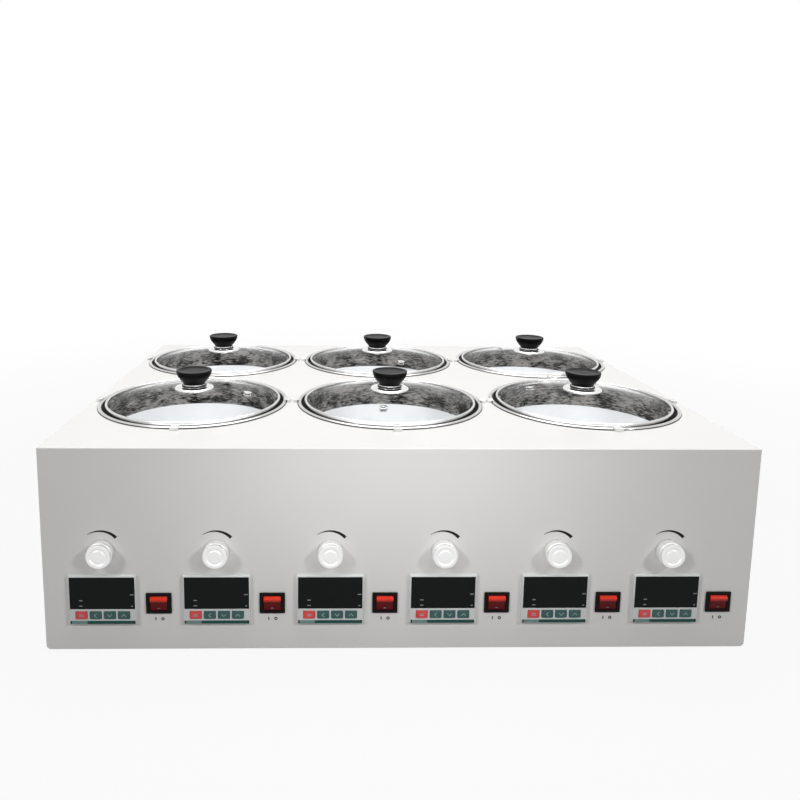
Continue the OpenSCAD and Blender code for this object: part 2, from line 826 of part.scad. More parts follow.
// Cord gland in the back wall: body, cap nut outside and lock nut inside
module cord_gland() {
    lock_t = 4;
    cap_l = gland_reach - gland_hex_t - seat_gap;
    thread_l = gland_hex_t + cap_l / 2;
    inner_l = sheet_t + lock_t + 2;
    color("dimgray") translate([gland_x, 0, 0]) {
        along_y(back_y - inner_l, gland_z)
            rotate_extrude() gland_body_section(inner_l + thread_l, inner_l + gland_t / 2);
        along_y(back_y, gland_z) hex_nut(gland_hex_r, gland_body_r - eps, gland_hex_t);
        along_y(back_y - sheet_t - lock_t, gland_z)
            hex_nut(gland_hex_r, gland_body_r + seat_gap, lock_t - seat_gap);
        along_y(back_y + gland_hex_t + seat_gap, gland_z) rotate_extrude() gland_cap_section(cap_l);
    }
}

// Half section of the gland's body, from its inner end outwards. Its bore is wider where it passes the wall
module gland_body_section(body_l, wide_l) {
    step = gland_t / 4;
    polygon([
        [cord_r + step, 0], [gland_body_r, 0], [gland_body_r, body_l], [cord_r, body_l],
        [cord_r, wide_l + step], [cord_r + step, wide_l]
    ]);
}

// Half section of the gland's cap nut, from the hexagon outwards
module gland_cap_section(cap_l) {
    r_in = gland_body_r + seat_gap;
    skirt_l = cap_l / 2;
    polygon([
        [r_in, 0], [gland_hex_r - 1, 0], [gland_hex_r - 1, skirt_l], [cord_r + 3, cap_l], [cord_r, cap_l],
        [cord_r, skirt_l + 1], [r_in, skirt_l + 1]
    ]);
}

cabinet();
base_plate();
bath_pots();
heater_plates();
temperature_probes();
stirrer_motors();
controller_cases();
controller_windows();
switch_housings();
speed_controls();
cord_gland();
feet();
for (i = [0 : bath_count - 1]) {
    lid(i);
    drive_magnet(i);
}
for (i = [0 : station_count - 1]) {
    speed_knob(i);
    rocker(i);
    for (k = [0 : len(key_names) - 1])
        control_key(i, k);
}
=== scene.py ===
# Looks of a water bath magnetic stirrer with six lidded baths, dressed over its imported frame.
import json
import math
from contextlib import contextmanager

import bmesh
import bpy
from bpy.props import FloatProperty, FloatVectorProperty, PointerProperty
from mathutils import Matrix, Vector


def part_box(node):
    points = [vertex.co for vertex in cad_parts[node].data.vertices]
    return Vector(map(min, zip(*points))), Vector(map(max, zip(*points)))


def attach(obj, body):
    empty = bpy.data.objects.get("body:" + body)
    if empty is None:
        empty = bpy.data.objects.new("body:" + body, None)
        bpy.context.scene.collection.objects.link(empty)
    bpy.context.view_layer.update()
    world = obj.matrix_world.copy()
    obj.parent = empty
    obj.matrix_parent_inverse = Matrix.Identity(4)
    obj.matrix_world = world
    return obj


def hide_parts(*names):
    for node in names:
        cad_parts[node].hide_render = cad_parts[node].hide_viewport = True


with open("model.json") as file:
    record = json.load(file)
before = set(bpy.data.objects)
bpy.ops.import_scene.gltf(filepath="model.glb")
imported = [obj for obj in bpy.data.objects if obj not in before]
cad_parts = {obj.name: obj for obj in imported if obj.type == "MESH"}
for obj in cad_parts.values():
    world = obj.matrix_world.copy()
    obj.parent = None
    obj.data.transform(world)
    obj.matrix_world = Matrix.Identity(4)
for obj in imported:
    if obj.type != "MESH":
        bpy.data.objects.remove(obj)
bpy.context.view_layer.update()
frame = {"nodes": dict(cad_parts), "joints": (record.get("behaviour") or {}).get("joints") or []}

bl_info = {
    "name": "Water bath magnetic stirrer",
    "version": (1, 0, 0),
    "blender": (4, 5, 0),
    "location": "View3D > Sidebar > Stirrer",
    "description": "Dresses the frame of a six-bath magnetic stirrer and sets its studio stage",
    "category": "Object",
}

# Counts, directions and limits, in metres and radians
MM = 0.001
BATHS = range(1, 7)
STATIONS = range(1, 7)
KEYS = ("set", "shift", "down", "up")
QUARTERS = range(4)
UP = Vector((0, 0, 1))
OUT = Vector((0, -1, 0))
SIDE = Vector((1, 0, 0))
TOUCH = 0.01 * MM
INK_EDGE = 0.02 * MM
FLAT = math.radians(0.5)
FACING = 0.9

# Joints and places that the frame gives, in metres
JOINTS = {joint["name"]: joint for joint in frame["joints"]}
CABINET_LOW, CABINET_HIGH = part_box("cabinet")
DECK_Z = CABINET_HIGH.z
FRONT_Y = CABINET_LOW.y
CASE_LOW, CASE_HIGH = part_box("controller_cases")
LID_LOW, LID_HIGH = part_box("lid_1")
POT_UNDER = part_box("bath_pots")[0].z

# Turn of each lid about its axis, in degrees, as it was put down
VENT_TURNS = (0, -101, 150, 35, -60, 120)
# Signs on a window: place across as a share of its half width, then height above its foot and width
WINDOW_SIGNS = (
    (-0.66, 10.9 * MM, 4 * MM),
    (-0.66, 4.1 * MM, 4 * MM),
    (0.91, 18.2 * MM, 4.5 * MM),
    (0.91, 3.7 * MM, 2.4 * MM),
)


def joint_place(name):
    """Where a joint's axis passes, in the frame."""
    return Vector(JOINTS[name]["pos_m"])


def bath_axis(bath):
    """The point of a bath's axis at the height of the deck."""
    place = joint_place(f"drive_magnet_{bath}_spin")
    return Vector((place.x, place.y, DECK_Z))


def knob_axis(station):
    """The point of a speed knob's axis on the panel."""
    return joint_place(f"speed_knob_{station}_turn")


def rocker_axis(station):
    """The middle of a rocker's pins."""
    return joint_place(f"rocker_{station}_tilt")


def level_cut(solid):
    """A level cut through a solid's middle."""
    low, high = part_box(solid)
    return UP * (low.z + high.z) / 2


# Sizes and colours that a user would change
def length(name, description, default):
    return FloatProperty(name=name, description=description, default=default, unit="LENGTH", precision=4)


def angle(name, description, degrees):
    return FloatProperty(
        name=name, description=description, default=math.radians(degrees), subtype="ANGLE", precision=4
    )


def share(name, description, default):
    return FloatProperty(name=name, description=description, default=default, subtype="FACTOR")


def power(name, description, default):
    return FloatProperty(name=name, description=description, default=default, unit="POWER")


def position(name, description, default):
    return FloatVectorProperty(
        name=name, description=description, default=default, unit="LENGTH", subtype="TRANSLATION"
    )


def area(name, description, default):
    return FloatVectorProperty(name=name, description=description, default=default, size=2, unit="LENGTH")


def colour(name, description, default):
    return FloatVectorProperty(
        name=name, description=description, default=default, size=3, min=0.0, max=1.0, subtype="COLOR"
    )


class CabinetLooks(bpy.types.PropertyGroup):
    """Folds and paint of the cabinet, and what is printed on it"""

    fold: length("Fold radius", "Outer radius of the sheet's folds", 0.0012)
    corner: length("Lower corner", "Height of the rounded lower corners of the front and back", 0.006)
    paint: colour("Paint", "Powder paint of the cabinet", (0.745, 0.735, 0.718))
    ink: colour("Ink", "Ink of the printed marks", (0.008, 0.008, 0.008))
    ink_t: length("Ink thickness", "Thickness of the printed marks", 0.00006)
    arc_r: length("Arc radius", "Radius of the speed arc about its knob", 0.0268)
    arc_w: length("Arc width", "Width of the speed arc at its fast end", 0.0040)
    arc_thin: length("Arc start", "Width of the speed arc at its slow end", 0.0005)
    arc_half: angle("Arc half angle", "Half of the angle that the speed arc spans", 41)
    arc_turn: angle("Arc turn", "Turn of the speed arc clockwise from upright", 4)
    mark_drop: length("Mark drop", "Distance of the on and off marks below the switch", 0.0075)
    mark_dx: length("Mark spacing", "Distance of each mark from the switch's middle", 0.0042)
    mark_h: length("Mark height", "Height of the on and off marks", 0.0040)
    mark_w: length("Mark stroke", "Stroke of the on and off marks", 0.0012)


class BathLooks(bpy.types.PropertyGroup):
    """Pots and their clips"""

    pot_r: length("Pot radius", "Inside radius of a pot", 0.118)
    wall_t: length("Wall", "Wall thickness of a pot", 0.001)
    bend: length("Floor bend", "Radius of the bend at the pot's floor", 0.010)
    ledge_w: length("Ledge width", "Width of the ledge that carries the lid", 0.009)
    ledge_drop: length("Ledge drop", "Depth of the ledge below the deck", 0.001)
    ledge_bend: length("Ledge bend", "Radius of the bends at the ledge", 0.0008)
    rim_w: length("Rim width", "Width of the rolled rim", 0.006)
    # Painted reflection: the dark band below the ledge stands in for the shaded wall across the pot, seen in
    # the steel
    shade_band_z: length("Dull band", "Depth of the dull band below the ledge", 0.035)
    clip_w: length("Clip width", "Width of a rim clip", 0.011)
    clip_t: length("Clip thickness", "Thickness of a rim clip", 0.0015)
    clip_reach: length("Clip reach", "Reach of a clip past the rim", 0.0055)
    clip_edge: length("Clip edge", "Rounding of a clip's edges", 0.0006)
    # Painted contact shade: the dark seal band on the rim's lower side stands in for the shade where the rim
    # meets the deck
    seal_h: length("Seal height", "Height of the dark seal under the rolled rim", 0.0012)
    steel: colour("Steel", "Pale satin steel of a pot's floor and lower wall", (0.755, 0.76, 0.77))
    rim: colour("Rim", "Polished steel of the rolled rim", (0.66, 0.655, 0.65))
    # Dark steel of the band, a painted reflection of shade
    dull_shade: colour("Dull steel", "Drawn steel of the upper wall", (0.090, 0.086, 0.082))
    groove: share("Groove shade", "Shade of the recess round a lid, against the dull steel", 0.15)
    # Dark seal band, painted contact shade under the rim
    seal: colour("Seal", "Dark seal between the rim and the deck", (0.03, 0.03, 0.03))
    clip: colour("Clip", "Pale metal of the clips", (0.82, 0.82, 0.80))


class LidLooks(bpy.types.PropertyGroup):
    """Glass, ring, eyelet, collar and knob of a lid"""

    rise: length("Rise", "Rise of the glass from its edge to its crown", 0.0145)
    glass_t: length("Glass thickness", "Thickness of the glass", 0.004)
    ring_w: length("Ring width", "Width of the steel ring", 0.0035)
    lip_t: length("Lip thickness", "Thickness of the ring's lip under the glass", 0.0006)
    lip_w: length("Lip width", "Width of the ring's lip under the glass", 0.004)
    seat: length("Seat gap", "Gap between pieces that are fixed together", 0.0001)
    vent_r: length("Vent place", "Distance of the vent eyelet from the lid's axis", 0.076)
    vent_hole_r: length("Vent hole", "Radius of the hole in the glass", 0.004)
    eyelet_w: length("Eyelet flange", "Width of the eyelet's flanges", 0.0018)
    eyelet_t: length("Eyelet thickness", "Thickness of the eyelet's flanges", 0.0008)
    collar_r: length("Collar radius", "Radius of the collar dish", 0.0275)
    collar_h: length("Collar height", "Height of the collar dish", 0.008)
    collar_t: length("Collar edge", "Thickness of the collar dish at its edge", 0.0012)
    # The dark seal round the knob's foot is a black seal that also stands in for the shade in the gap there
    collar_lap: length("Collar lap", "Width of the seal round the knob's foot", 0.002)
    washer_t: length("Washer", "Thickness of the washer under the knob and of the seal under it", 0.00136)
    grip_r: length("Knob radius", "Radius of the lid knob's top", 0.025)
    grip_foot_r: length("Knob foot", "Radius of the lid knob's foot", 0.0155)
    grip_h: length("Knob height", "Height of the lid knob", 0.0195)
    grip_edge: length("Knob edge", "Height of the upright edge of the lid knob", 0.002)
    grip_round: length("Knob rounding", "Rounding of the lid knob's top edge", 0.001)
    grip_rim: length("Knob rim", "Width of the rim round the dished top", 0.002)
    grip_dish: length("Knob dish", "Depth of the dished top", 0.001)
    grip_flare: share("Knob flare", "How late the lid knob's sides swell above its foot", 1.3)
    bore_share: share("Screw depth", "Share of the lid knob's height that its screw reaches", 0.6)
    screw_r: length("Screw radius", "Radius of the screw in the lid knob", 0.003)
    head_r: length("Screw head", "Radius of the screw's head", 0.009)
    head_t: length("Screw head thickness", "Thickness of the screw's head", 0.0025)
    screw_edge: length("Screw edge", "Rounding of the screw's edges", 0.0003)
    glass: colour("Glass", "Tint of the glass", (0.98, 0.985, 0.985))
    chrome: colour("Bright steel", "Steel of the eyelet and collar", (0.88, 0.88, 0.875))
    ring: colour("Ring", "Steel of the ring round the glass", (0.74, 0.74, 0.735))
    knob: colour("Knob", "Moulded black of the lid knob", (0.007, 0.007, 0.0075))


class ControlLooks(bpy.types.PropertyGroup):
    """Controllers, keys, switches and speed knobs"""

    bezel_edge: length("Bezel edge", "Rounding of a controller's bezel", 0.0014)
    cut_edge: length("Pocket edge", "Rounding of the pockets in a bezel", 0.0003)
    window_edge: length("Window edge", "Rounding of a window", 0.0003)
    key_corner: length("Key corner", "Rounding of a key's corners seen from the front", 0.0022)
    key_edge: length("Key edge", "Rounding of a key's front edge", 0.0005)
    sign_t: length("Sign thickness", "Thickness of the printed signs", 0.00008)
    window_sign_h: length("Window sign", "Height of the signs on a window", 0.0013)
    sign_w: length("Sign stroke", "Stroke of the signs on the keys", 0.0009)
    sign_half: length("Sign half width", "Half width of the signs on the keys", 0.0026)
    strip_z: length("Strip foot", "Height of the colour strip above the bezel's edge", 0.0007)
    strip_h: length("Strip height", "Height of the colour strip", 0.0041)
    strip_side: length("Strip side", "Distance of the strip from the bezel's sides", 0.0016)
    strip_end: length("Strip end", "Length of the dark ends of the colour strip", 0.0018)
    pale_share: share("Pale share", "Share of the colour strip that is pale", 0.26)
    switch_edge: length("Switch edge", "Rounding of a switch bezel", 0.0008)
    rocker_edge: length("Rocker edge", "Rounding of a rocker", 0.0006)
    rocker_valley: length("Rocker valley", "Distance of a rocker's valley from its pins", 0.006)
    # Painted light on the rockers: deep red as painted shade low down, bright red as painted light at the
    # top
    rocker_deep_z: length("Deep red", "Height above the pins where the deep red starts to fade", 0.0015)
    rocker_bright_z: length("Bright red", "Height above the pins where the red is bright", 0.0045)
    ring_drop: length("Off ring", "Distance of a rocker's ring below its valley", 0.0056)
    ring_r: length("Off ring radius", "Radius of a rocker's ring", 0.0015)
    ring_w: length("Off ring stroke", "Stroke of a rocker's ring", 0.0006)
    gland_edge: length("Gland edge", "Rounding of the cord gland", 0.0005)
    knob_r: length("Knob radius", "Radius of a speed knob at the panel", 0.01525)
    knob_face_r: length("Knob face", "Radius of a speed knob's face", 0.0142)
    knob_reach: length("Knob reach", "How far a speed knob reaches out", 0.014)
    knob_cap: length("Knob front", "Length of a speed knob's narrower front", 0.005)
    knob_clear: length("Knob clearance", "Gap between a speed knob and the panel", 0.0008)
    knob_edge: length("Knob edge", "Rounding of a speed knob's edges", 0.0008)
    knob_draft: length("Knob draft", "How much a speed knob narrows towards its step", 0.0005)
    knob_rim: length("Knob rim", "Width of the rim round a speed knob's dished face", 0.0035)
    knob_dip: length("Knob dip", "Depth of a speed knob's dished face", 0.001)
    knob_well_r: length("Knob well", "Radius of the hollow behind a speed knob", 0.009)
    knob_well: length("Knob well depth", "Depth of the hollow behind a speed knob", 0.0055)
    shaft_r: length("Shaft", "Radius of the shaft behind a speed knob", 0.003)
    case: colour("Case", "Grey plastic of the controllers", (0.64, 0.665, 0.655))
    window: colour("Window", "Black of the windows", (0.006, 0.007, 0.007))
    strip: colour("Strip", "Green of the colour strip", (0.012, 0.075, 0.062))
    strip_pale: colour("Pale strip", "Pale end of the colour strip", (0.20, 0.32, 0.30))
    key_red: colour("Red key", "Red of the set key", (0.72, 0.06, 0.065))
    key_green: colour("Green key", "Green of the other keys", (0.016, 0.085, 0.075))
    sign: colour("Sign", "Pale ink of the signs", (0.42, 0.49, 0.47))
    window_sign: colour("Window sign ink", "Dim ink of the signs on a window", (0.252, 0.294, 0.282))
    housing: colour("Housing", "Black of the switch housings", (0.006, 0.004, 0.004))
    # The rocker's red as painted light at its top, and its painted-shade deep red lower down
    rocker: colour("Rocker", "Red of a rocker's upper face", (0.74, 0.040, 0.018))
    rocker_deep: colour("Deep rocker", "Deep red of a rocker's lower face", (0.12, 0.003, 0.005))
    knob: colour("Knob", "White of the speed knobs", (0.92, 0.92, 0.915))


class InnerLooks(bpy.types.PropertyGroup):
    """Base plate, feet and inner works"""

    plate: colour("Base plate", "Zinc-coated sheet of the base plate", (0.56, 0.57, 0.58))
    feet: colour("Feet", "Rubber of the feet", (0.022, 0.022, 0.022))
    heater: colour("Heaters", "Metal of the heaters", (0.36, 0.35, 0.34))
    motor: colour("Motors", "Enamel of the motors", (0.09, 0.10, 0.11))
    control: colour("Speed controls", "Metal of the speed controls", (0.40, 0.40, 0.42))
    drive: colour("Drive magnets", "Turned metal of the yokes and magnets", (0.62, 0.63, 0.65))


class StageLooks(bpy.types.PropertyGroup):
    """Floor, light and camera"""

    floor: colour("Floor", "Colour of the floor", (0.36, 0.36, 0.36))
    floor_size: length("Floor size", "Length of the floor's sides", 60.0)
    floor_near: length("Floor near", "Distance from the middle where the floor starts to fade", 0.7)
    floor_far: length("Floor far", "Distance from the middle at which the floor is plain white", 2.2)
    floor_glow: share("Floor glow", "Share of the near floor that shows as plain white", 0.92)
    sky: share("Sky", "Strength of the even light all round", 0.055)
    top_place: position("Top place", "Where the overhead softbox hangs", (0, 0.1, 2.2))
    top_size: area("Top size", "Width and depth of the overhead softbox", (2.4, 1.8))
    top_power: power("Top light", "Power of the overhead softbox", 49.5)
    front_place: position("Front place", "Where the right front softbox stands", (2.0, -2.0, 1.9))
    front_size: area("Front size", "Width and height of each front softbox", (0.25, 0.25))
    front_power: power("Front light", "Power of each front softbox", 24.5)
    brow_gap: length("Brow gap", "Distance of the strip light from the front", 0.20)
    brow_level: share("Brow level", "Share of the front's height at which the strip light aims", 0.8)
    brow_size: area("Brow size", "Width and height of the strip light", (0.4, 0.06))
    brow_power: power("Brow light", "Power of the strip light before the front", 0.25)
    lens: FloatProperty(
        name="Lens", description="Focal length in millimetres", default=31.86, unit="CAMERA"
    )
    sensor: FloatProperty(
        name="Sensor", description="Width of the sensor in millimetres", default=36.0, unit="CAMERA"
    )
    camera_place: position("Camera place", "Where the camera stands", (-0.0858, -1.1134, 0.5319))
    pitch: angle("Pitch", "Tilt of the camera below level", 8.016)
    yaw: angle("Yaw", "Turn of the camera to the right", 1.329)
    roll: angle("Roll", "Roll of the camera", -0.573)
    shift: FloatVectorProperty(
        name="Shift", description="Shift of the lens across the picture", default=(0.0662, -0.1136), size=2
    )


# Modelling by hand, in code
def deselect():
    bpy.ops.object.select_all(action="DESELECT")


def make_active(piece):
    deselect()
    piece.select_set(True)
    bpy.context.view_layer.objects.active = piece


@contextmanager
def editing(piece):
    """Edit mode on one piece, with all of it selected."""
    make_active(piece)
    bpy.ops.object.mode_set(mode="EDIT")
    bpy.ops.mesh.select_mode(type="VERT")
    bpy.ops.mesh.select_all(action="SELECT")
    yield
    bpy.ops.object.mode_set(mode="OBJECT")


def pick(piece, kind, test):
    """Selects, in edit mode, only the faces, edges or points for which a test holds."""
    modes = {"verts": "VERT", "edges": "EDGE", "faces": "FACE"}
    bpy.ops.mesh.select_mode(type=modes[kind])
    bpy.ops.mesh.select_all(action="DESELECT")
    drawn = bmesh.from_edit_mesh(piece.data)
    for item in getattr(drawn, kind):
        if test(item):
            item.select_set(True)
    drawn.select_flush_mode()
    bmesh.update_edit_mesh(piece.data)


def new_block(name, low, high):
    """A block between two corners, as the start of a piece."""
    deselect()
    bpy.ops.mesh.primitive_cube_add(size=1)
    piece = bpy.context.object
    piece.name = name
    with editing(piece):
        bpy.ops.transform.resize(value=high - low)
        bpy.ops.transform.translate(value=(low + high) / 2)
    return piece


def draw_chain(name, points):
    """A row of points joined by edges, extruded one after the other. It stays in edit mode."""
    deselect()
    bpy.ops.mesh.primitive_plane_add(size=MM)
    piece = bpy.context.object
    piece.name = name
    bpy.ops.object.mode_set(mode="EDIT")
    bpy.ops.mesh.select_mode(type="VERT")
    bpy.ops.mesh.select_all(action="SELECT")
    bpy.ops.mesh.merge(type="CENTER")
    bpy.ops.transform.translate(value=points[0])
    for here, there in zip(points, points[1:]):
        bpy.ops.mesh.extrude_region_move(TRANSFORM_OT_translate={"value": there - here})
    bpy.ops.mesh.select_all(action="SELECT")
    return piece


def spin_section(name, section, place, steps, along=UP):
    """A half section of (radius, height) points, spun round an axis."""
    piece = draw_chain(name, [place + SIDE * radius + along * height for radius, height in section])
    bpy.ops.mesh.spin(steps=steps, angle=2 * math.pi, center=place, axis=along)
    bpy.ops.mesh.select_all(action="SELECT")
    bpy.ops.mesh.remove_doubles(threshold=TOUCH)
    bpy.ops.mesh.normals_make_consistent(inside=False)
    bpy.ops.object.mode_set(mode="OBJECT")
    return piece


def flat_ring(name, radius, stroke, thickness, place):
    """A thin flat ring on the front."""
    inner = radius - stroke
    section = [(radius, 0), (radius, thickness), (inner, thickness), (inner, 0), (radius, 0)]
    return spin_section(name, section, place, steps=32, along=OUT)


def bend_points(centre, radius, start, end, steps):
    """Points of a round stretch of a section, by angles in degrees."""
    angles = [math.radians(start + (end - start) * k / steps) for k in range(steps + 1)]
    return [(centre[0] + radius * math.cos(a), centre[1] + radius * math.sin(a)) for a in angles]


def apply_modifier(piece, kind, **values):
    """Adds a modifier with its values and applies it."""
    make_active(piece)
    modifier = piece.modifiers.new(kind.title(), kind)
    for name, value in values.items():
        setattr(modifier, name, value)
    bpy.ops.object.modifier_apply(modifier=modifier.name)


def soften(piece, width, segments=3, limit=35):
    """Rounds every edge that is sharper than an angle."""
    apply_modifier(
        piece, "BEVEL", width=width, segments=segments, limit_method="ANGLE",
        angle_limit=math.radians(limit), use_clamp_overlap=True,
    )


def smooth(piece, flat_faces=True):
    """Smooth shading that keeps sharp edges, and keeps large faces flat beside rounded edges."""
    crease = math.radians(40)
    make_active(piece)
    bpy.ops.object.shade_smooth_by_angle(angle=crease)
    if flat_faces:
        apply_modifier(piece, "WEIGHTED_NORMAL", keep_sharp=True, weight=100)


def copy_of_node(solid, name, cuts=()):
    """A copy of a solid with its triangles merged into faces, which end at flat cuts through its holes.

    A cut is given by its point nearest the origin.
    """
    piece = bpy.data.objects.new(name, frame["nodes"][solid].data.copy())
    bpy.context.scene.collection.objects.link(piece)
    piece.data.materials.clear()
    make_active(piece)
    bpy.ops.mesh.customdata_custom_splitnormals_clear()
    with editing(piece):
        bpy.ops.mesh.remove_doubles(threshold=TOUCH)
        for cut in cuts:
            bpy.ops.mesh.select_all(action="SELECT")
            bpy.ops.mesh.bisect(plane_co=cut, plane_no=cut.normalized())
            bpy.ops.mesh.mark_seam()
        bpy.ops.mesh.select_all(action="SELECT")
        bpy.ops.mesh.dissolve_limited(angle_limit=FLAT, delimit={"SEAM"})
    return piece


def copy_piece(source, name, shift=Vector((0, 0, 0)), turn=0, about=Vector((0, 0, 0))):
    """A copy with its own mesh, turned about an upright axis and then moved."""
    piece = source.copy()
    piece.data = source.data.copy()
    piece.name = name
    bpy.context.scene.collection.objects.link(piece)
    turned = Matrix.Translation(about) @ Matrix.Rotation(turn, 4, "Z") @ Matrix.Translation(-about)
    piece.data.transform(Matrix.Translation(shift) @ turned)
    return piece


def join_pieces(pieces, name):
    """Several pieces made into one."""
    deselect()
    for piece in pieces:
        piece.select_set(True)
    bpy.context.view_layer.objects.active = pieces[0]
    bpy.ops.object.join()
    pieces[0].name = name
    return pieces[0]


def flat_sheet(name, outline, thickness):
    """A flat outline on the front, given its thickness towards the front."""
    piece = draw_chain(name, outline + [outline[0]])
    bpy.ops.mesh.remove_doubles(threshold=TOUCH)
    bpy.ops.mesh.edge_face_add()
    bpy.ops.mesh.extrude_region_move(TRANSFORM_OT_translate={"value": OUT * thickness})
    bpy.ops.mesh.select_all(action="SELECT")
    bpy.ops.mesh.normals_make_consistent(inside=False)
    bpy.ops.object.mode_set(mode="OBJECT")
    return piece


def assign_zones(piece, material, zones):
    """Gives a piece one finish, and the faces for which a zone's test holds that zone's finish instead."""
    piece.data.materials.append(material)
    with editing(piece):
        for other, test in zones:
            piece.data.materials.append(other)
            pick(piece, "faces", test)
            piece.active_material_index = len(piece.data.materials) - 1
            bpy.ops.object.material_slot_assign()


def dress(piece, body, material, *nodes, slot=None):
    """Gives a piece its finish, unless it has its own, its body and the solids that it stands for."""
    if material:
        piece.data.materials.clear()
        piece.data.materials.append(material)
    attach(piece, body)
    if nodes:
        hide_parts(*nodes)
    return piece


def share_stations(source, name, material, body=None, slot=None):
    """Copies a piece of the first station to every station, on the housing or on bodies of its own."""
    first = knob_axis(1)
    for station in STATIONS:
        piece = copy_piece(source, f"{name}_{station}", knob_axis(station) - first)
        if body:
            dress(piece, f"{body}_{station}", material, f"{body}_{station}", slot=slot)
        else:
            dress(piece, "housing", material)
    bpy.data.objects.remove(source)


# Finishes
def node(tree, kind, inputs=None, **settings):
    """A node with its settings, and with each input set to a value or linked to a socket."""
    made = tree.nodes.new(kind)
    for name, value in settings.items():
        setattr(made, name, value)
    for name, value in (inputs or {}).items():
        if isinstance(value, bpy.types.NodeSocket):
            tree.links.new(value, made.inputs[name])
        else:
            made.inputs[name].default_value = value
    return made


def finish(name, base, **values):
    """A material with one shader. Values name the shader's sockets, with _ for a space."""
    material = bpy.data.materials.new(name)
    material.use_nodes = True
    shader = material.node_tree.nodes["Principled BSDF"]
    shader.inputs["Base Color"].default_value = (*base, 1)
    for socket, value in values.items():
        shader.inputs[socket.replace("_", " ")].default_value = value
    material.diffuse_color = (*base, 1)
    return material, material.node_tree, shader


def grain(tree, scale, stretch=(1, 1, 1), detail=3.0):
    """Noise on the object's own coordinates, stretched along its axes."""
    place = node(tree, "ShaderNodeTexCoord").outputs["Object"]
    mapped = node(tree, "ShaderNodeMapping", {"Vector": place, "Scale": stretch}).outputs["Vector"]
    noise = node(tree, "ShaderNodeTexNoise", {"Vector": mapped, "Scale": scale, "Detail": detail})
    return noise.outputs["Fac"]


def spread(tree, value, low, high, start=0.3, end=0.7):
    """A noise value spread between two levels."""
    return node(
        tree, "ShaderNodeMapRange",
        {"Value": value, "From Min": start, "From Max": end, "To Min": low, "To Max": high},
    ).outputs["Result"]


def blend_colours(tree, blend, first, second):
    mixed = node(tree, "ShaderNodeMix", data_type="RGBA")
    for socket, value in ((mixed.inputs[0], blend), (mixed.inputs[6], first), (mixed.inputs[7], second)):
        if isinstance(value, bpy.types.NodeSocket):
            tree.links.new(value, socket)
        else:
            socket.default_value = (*value, 1) if isinstance(value, (tuple, list, Vector)) else value
    return mixed.outputs[2]


def darker(base, level):
    return tuple(level * part for part in base)


def raise_grain(tree, shader, height, strength, depth=0.2 * MM):
    """A fine relief on a shader's surface."""
    bump = node(tree, "ShaderNodeBump", {"Height": height, "Strength": strength, "Distance": depth})
    tree.links.new(bump.outputs["Normal"], shader.inputs["Normal"])


def vary_colour(tree, shader, noise, base, low):
    """A base colour that drifts with a noise between a darker shade of itself and itself."""
    drift = spread(tree, noise, 0, 1)
    tree.links.new(blend_colours(tree, drift, darker(base, low), tuple(base)), shader.inputs["Base Color"])


def vary_roughness(tree, shader, noise, low, high):
    """A roughness that drifts with a noise between two levels."""
    tree.links.new(spread(tree, noise, low, high), shader.inputs["Roughness"])


def powder_paint(base):
    """Satin paint with a fine orange peel and slight cloudiness."""
    material, tree, shader = finish("powder_paint", base, Coat_Weight=0.08, Coat_Roughness=0.25)
    cloud = grain(tree, 6, detail=4)
    vary_colour(tree, shader, cloud, base, 0.975)
    vary_roughness(tree, shader, grain(tree, 40), 0.38, 0.50)
    raise_grain(tree, shader, grain(tree, 900, detail=2), 0.06)
    return material


def moulded(name, base, roughness, low=0.9, coat=0.0, shine=0.5, pearl=0.0, scale=700, strength=0.10):
    """Moulded plastic or rubber with a fine grain, and with a share of pearly shine."""
    material, tree, shader = finish(
        name, base, Coat_Weight=coat, Coat_Roughness=0.08, Specular_IOR_Level=shine, Metallic=pearl
    )
    vary_colour(tree, shader, grain(tree, 60), base, low)
    vary_roughness(tree, shader, grain(tree, 120), roughness - 0.05, roughness + 0.05)
    raise_grain(tree, shader, grain(tree, scale, detail=2), strength)
    return material


def ink(name, base):
    """Printed ink, a little uneven."""
    material, tree, shader = finish(name, base, Roughness=0.55, Specular_IOR_Level=0.2)
    vary_colour(tree, shader, grain(tree, 500), base, 0.7)
    return material


def bright_steel(name, base, roughness, stretch=(1, 1, 30)):
    """Steel with fine drawn lines."""
    material, tree, shader = finish(name, base, Metallic=1.0)
    lines = grain(tree, 40, stretch, detail=5)
    vary_colour(tree, shader, lines, base, 0.86)
    vary_roughness(tree, shader, lines, roughness + 0.06, roughness - 0.03)
    raise_grain(tree, shader, lines, 0.04)
    return material


def satin_steel(base):
    """Pale steel with a soft, even shine."""
    material, tree, shader = finish("satin_steel", base, Metallic=0.4)
    cloud = grain(tree, 18, detail=4)
    vary_colour(tree, shader, cloud, base, 0.95)
    vary_roughness(tree, shader, cloud, 0.38, 0.52)
    raise_grain(tree, shader, grain(tree, 500), 0.04)
    return material


def drawn_steel(name, base):
    """Dark steel with drawn streaks, as painted shade: the dull upper band of a pot's wall is a painted
    reflection of the shaded wall across the pot, and the same dark steel paints the shade in the recess
    round a lid and on the ring's lip.
    """
    material, tree, shader = finish(name, base, Metallic=0.85, Specular_Tint=(0.25, 0.25, 0.25, 1))
    broad = grain(tree, 30, (1, 1, 2), detail=6)
    fine = grain(tree, 120, (1, 1, 4), detail=4)
    streaks = node(tree, "ShaderNodeMath", {0: broad, 1: fine}, operation="ADD").outputs[0]
    pale = tuple(min(1, 3.7 * part) for part in base)
    shade = blend_colours(tree, spread(tree, streaks, 0, 1, 0.88, 1.18), darker(base, 0.1), pale)
    tree.links.new(shade, shader.inputs["Base Color"])
    vary_roughness(tree, shader, fine, 0.24, 0.44)
    raise_grain(tree, shader, fine, 0.08, 0.3 * MM)
    return material


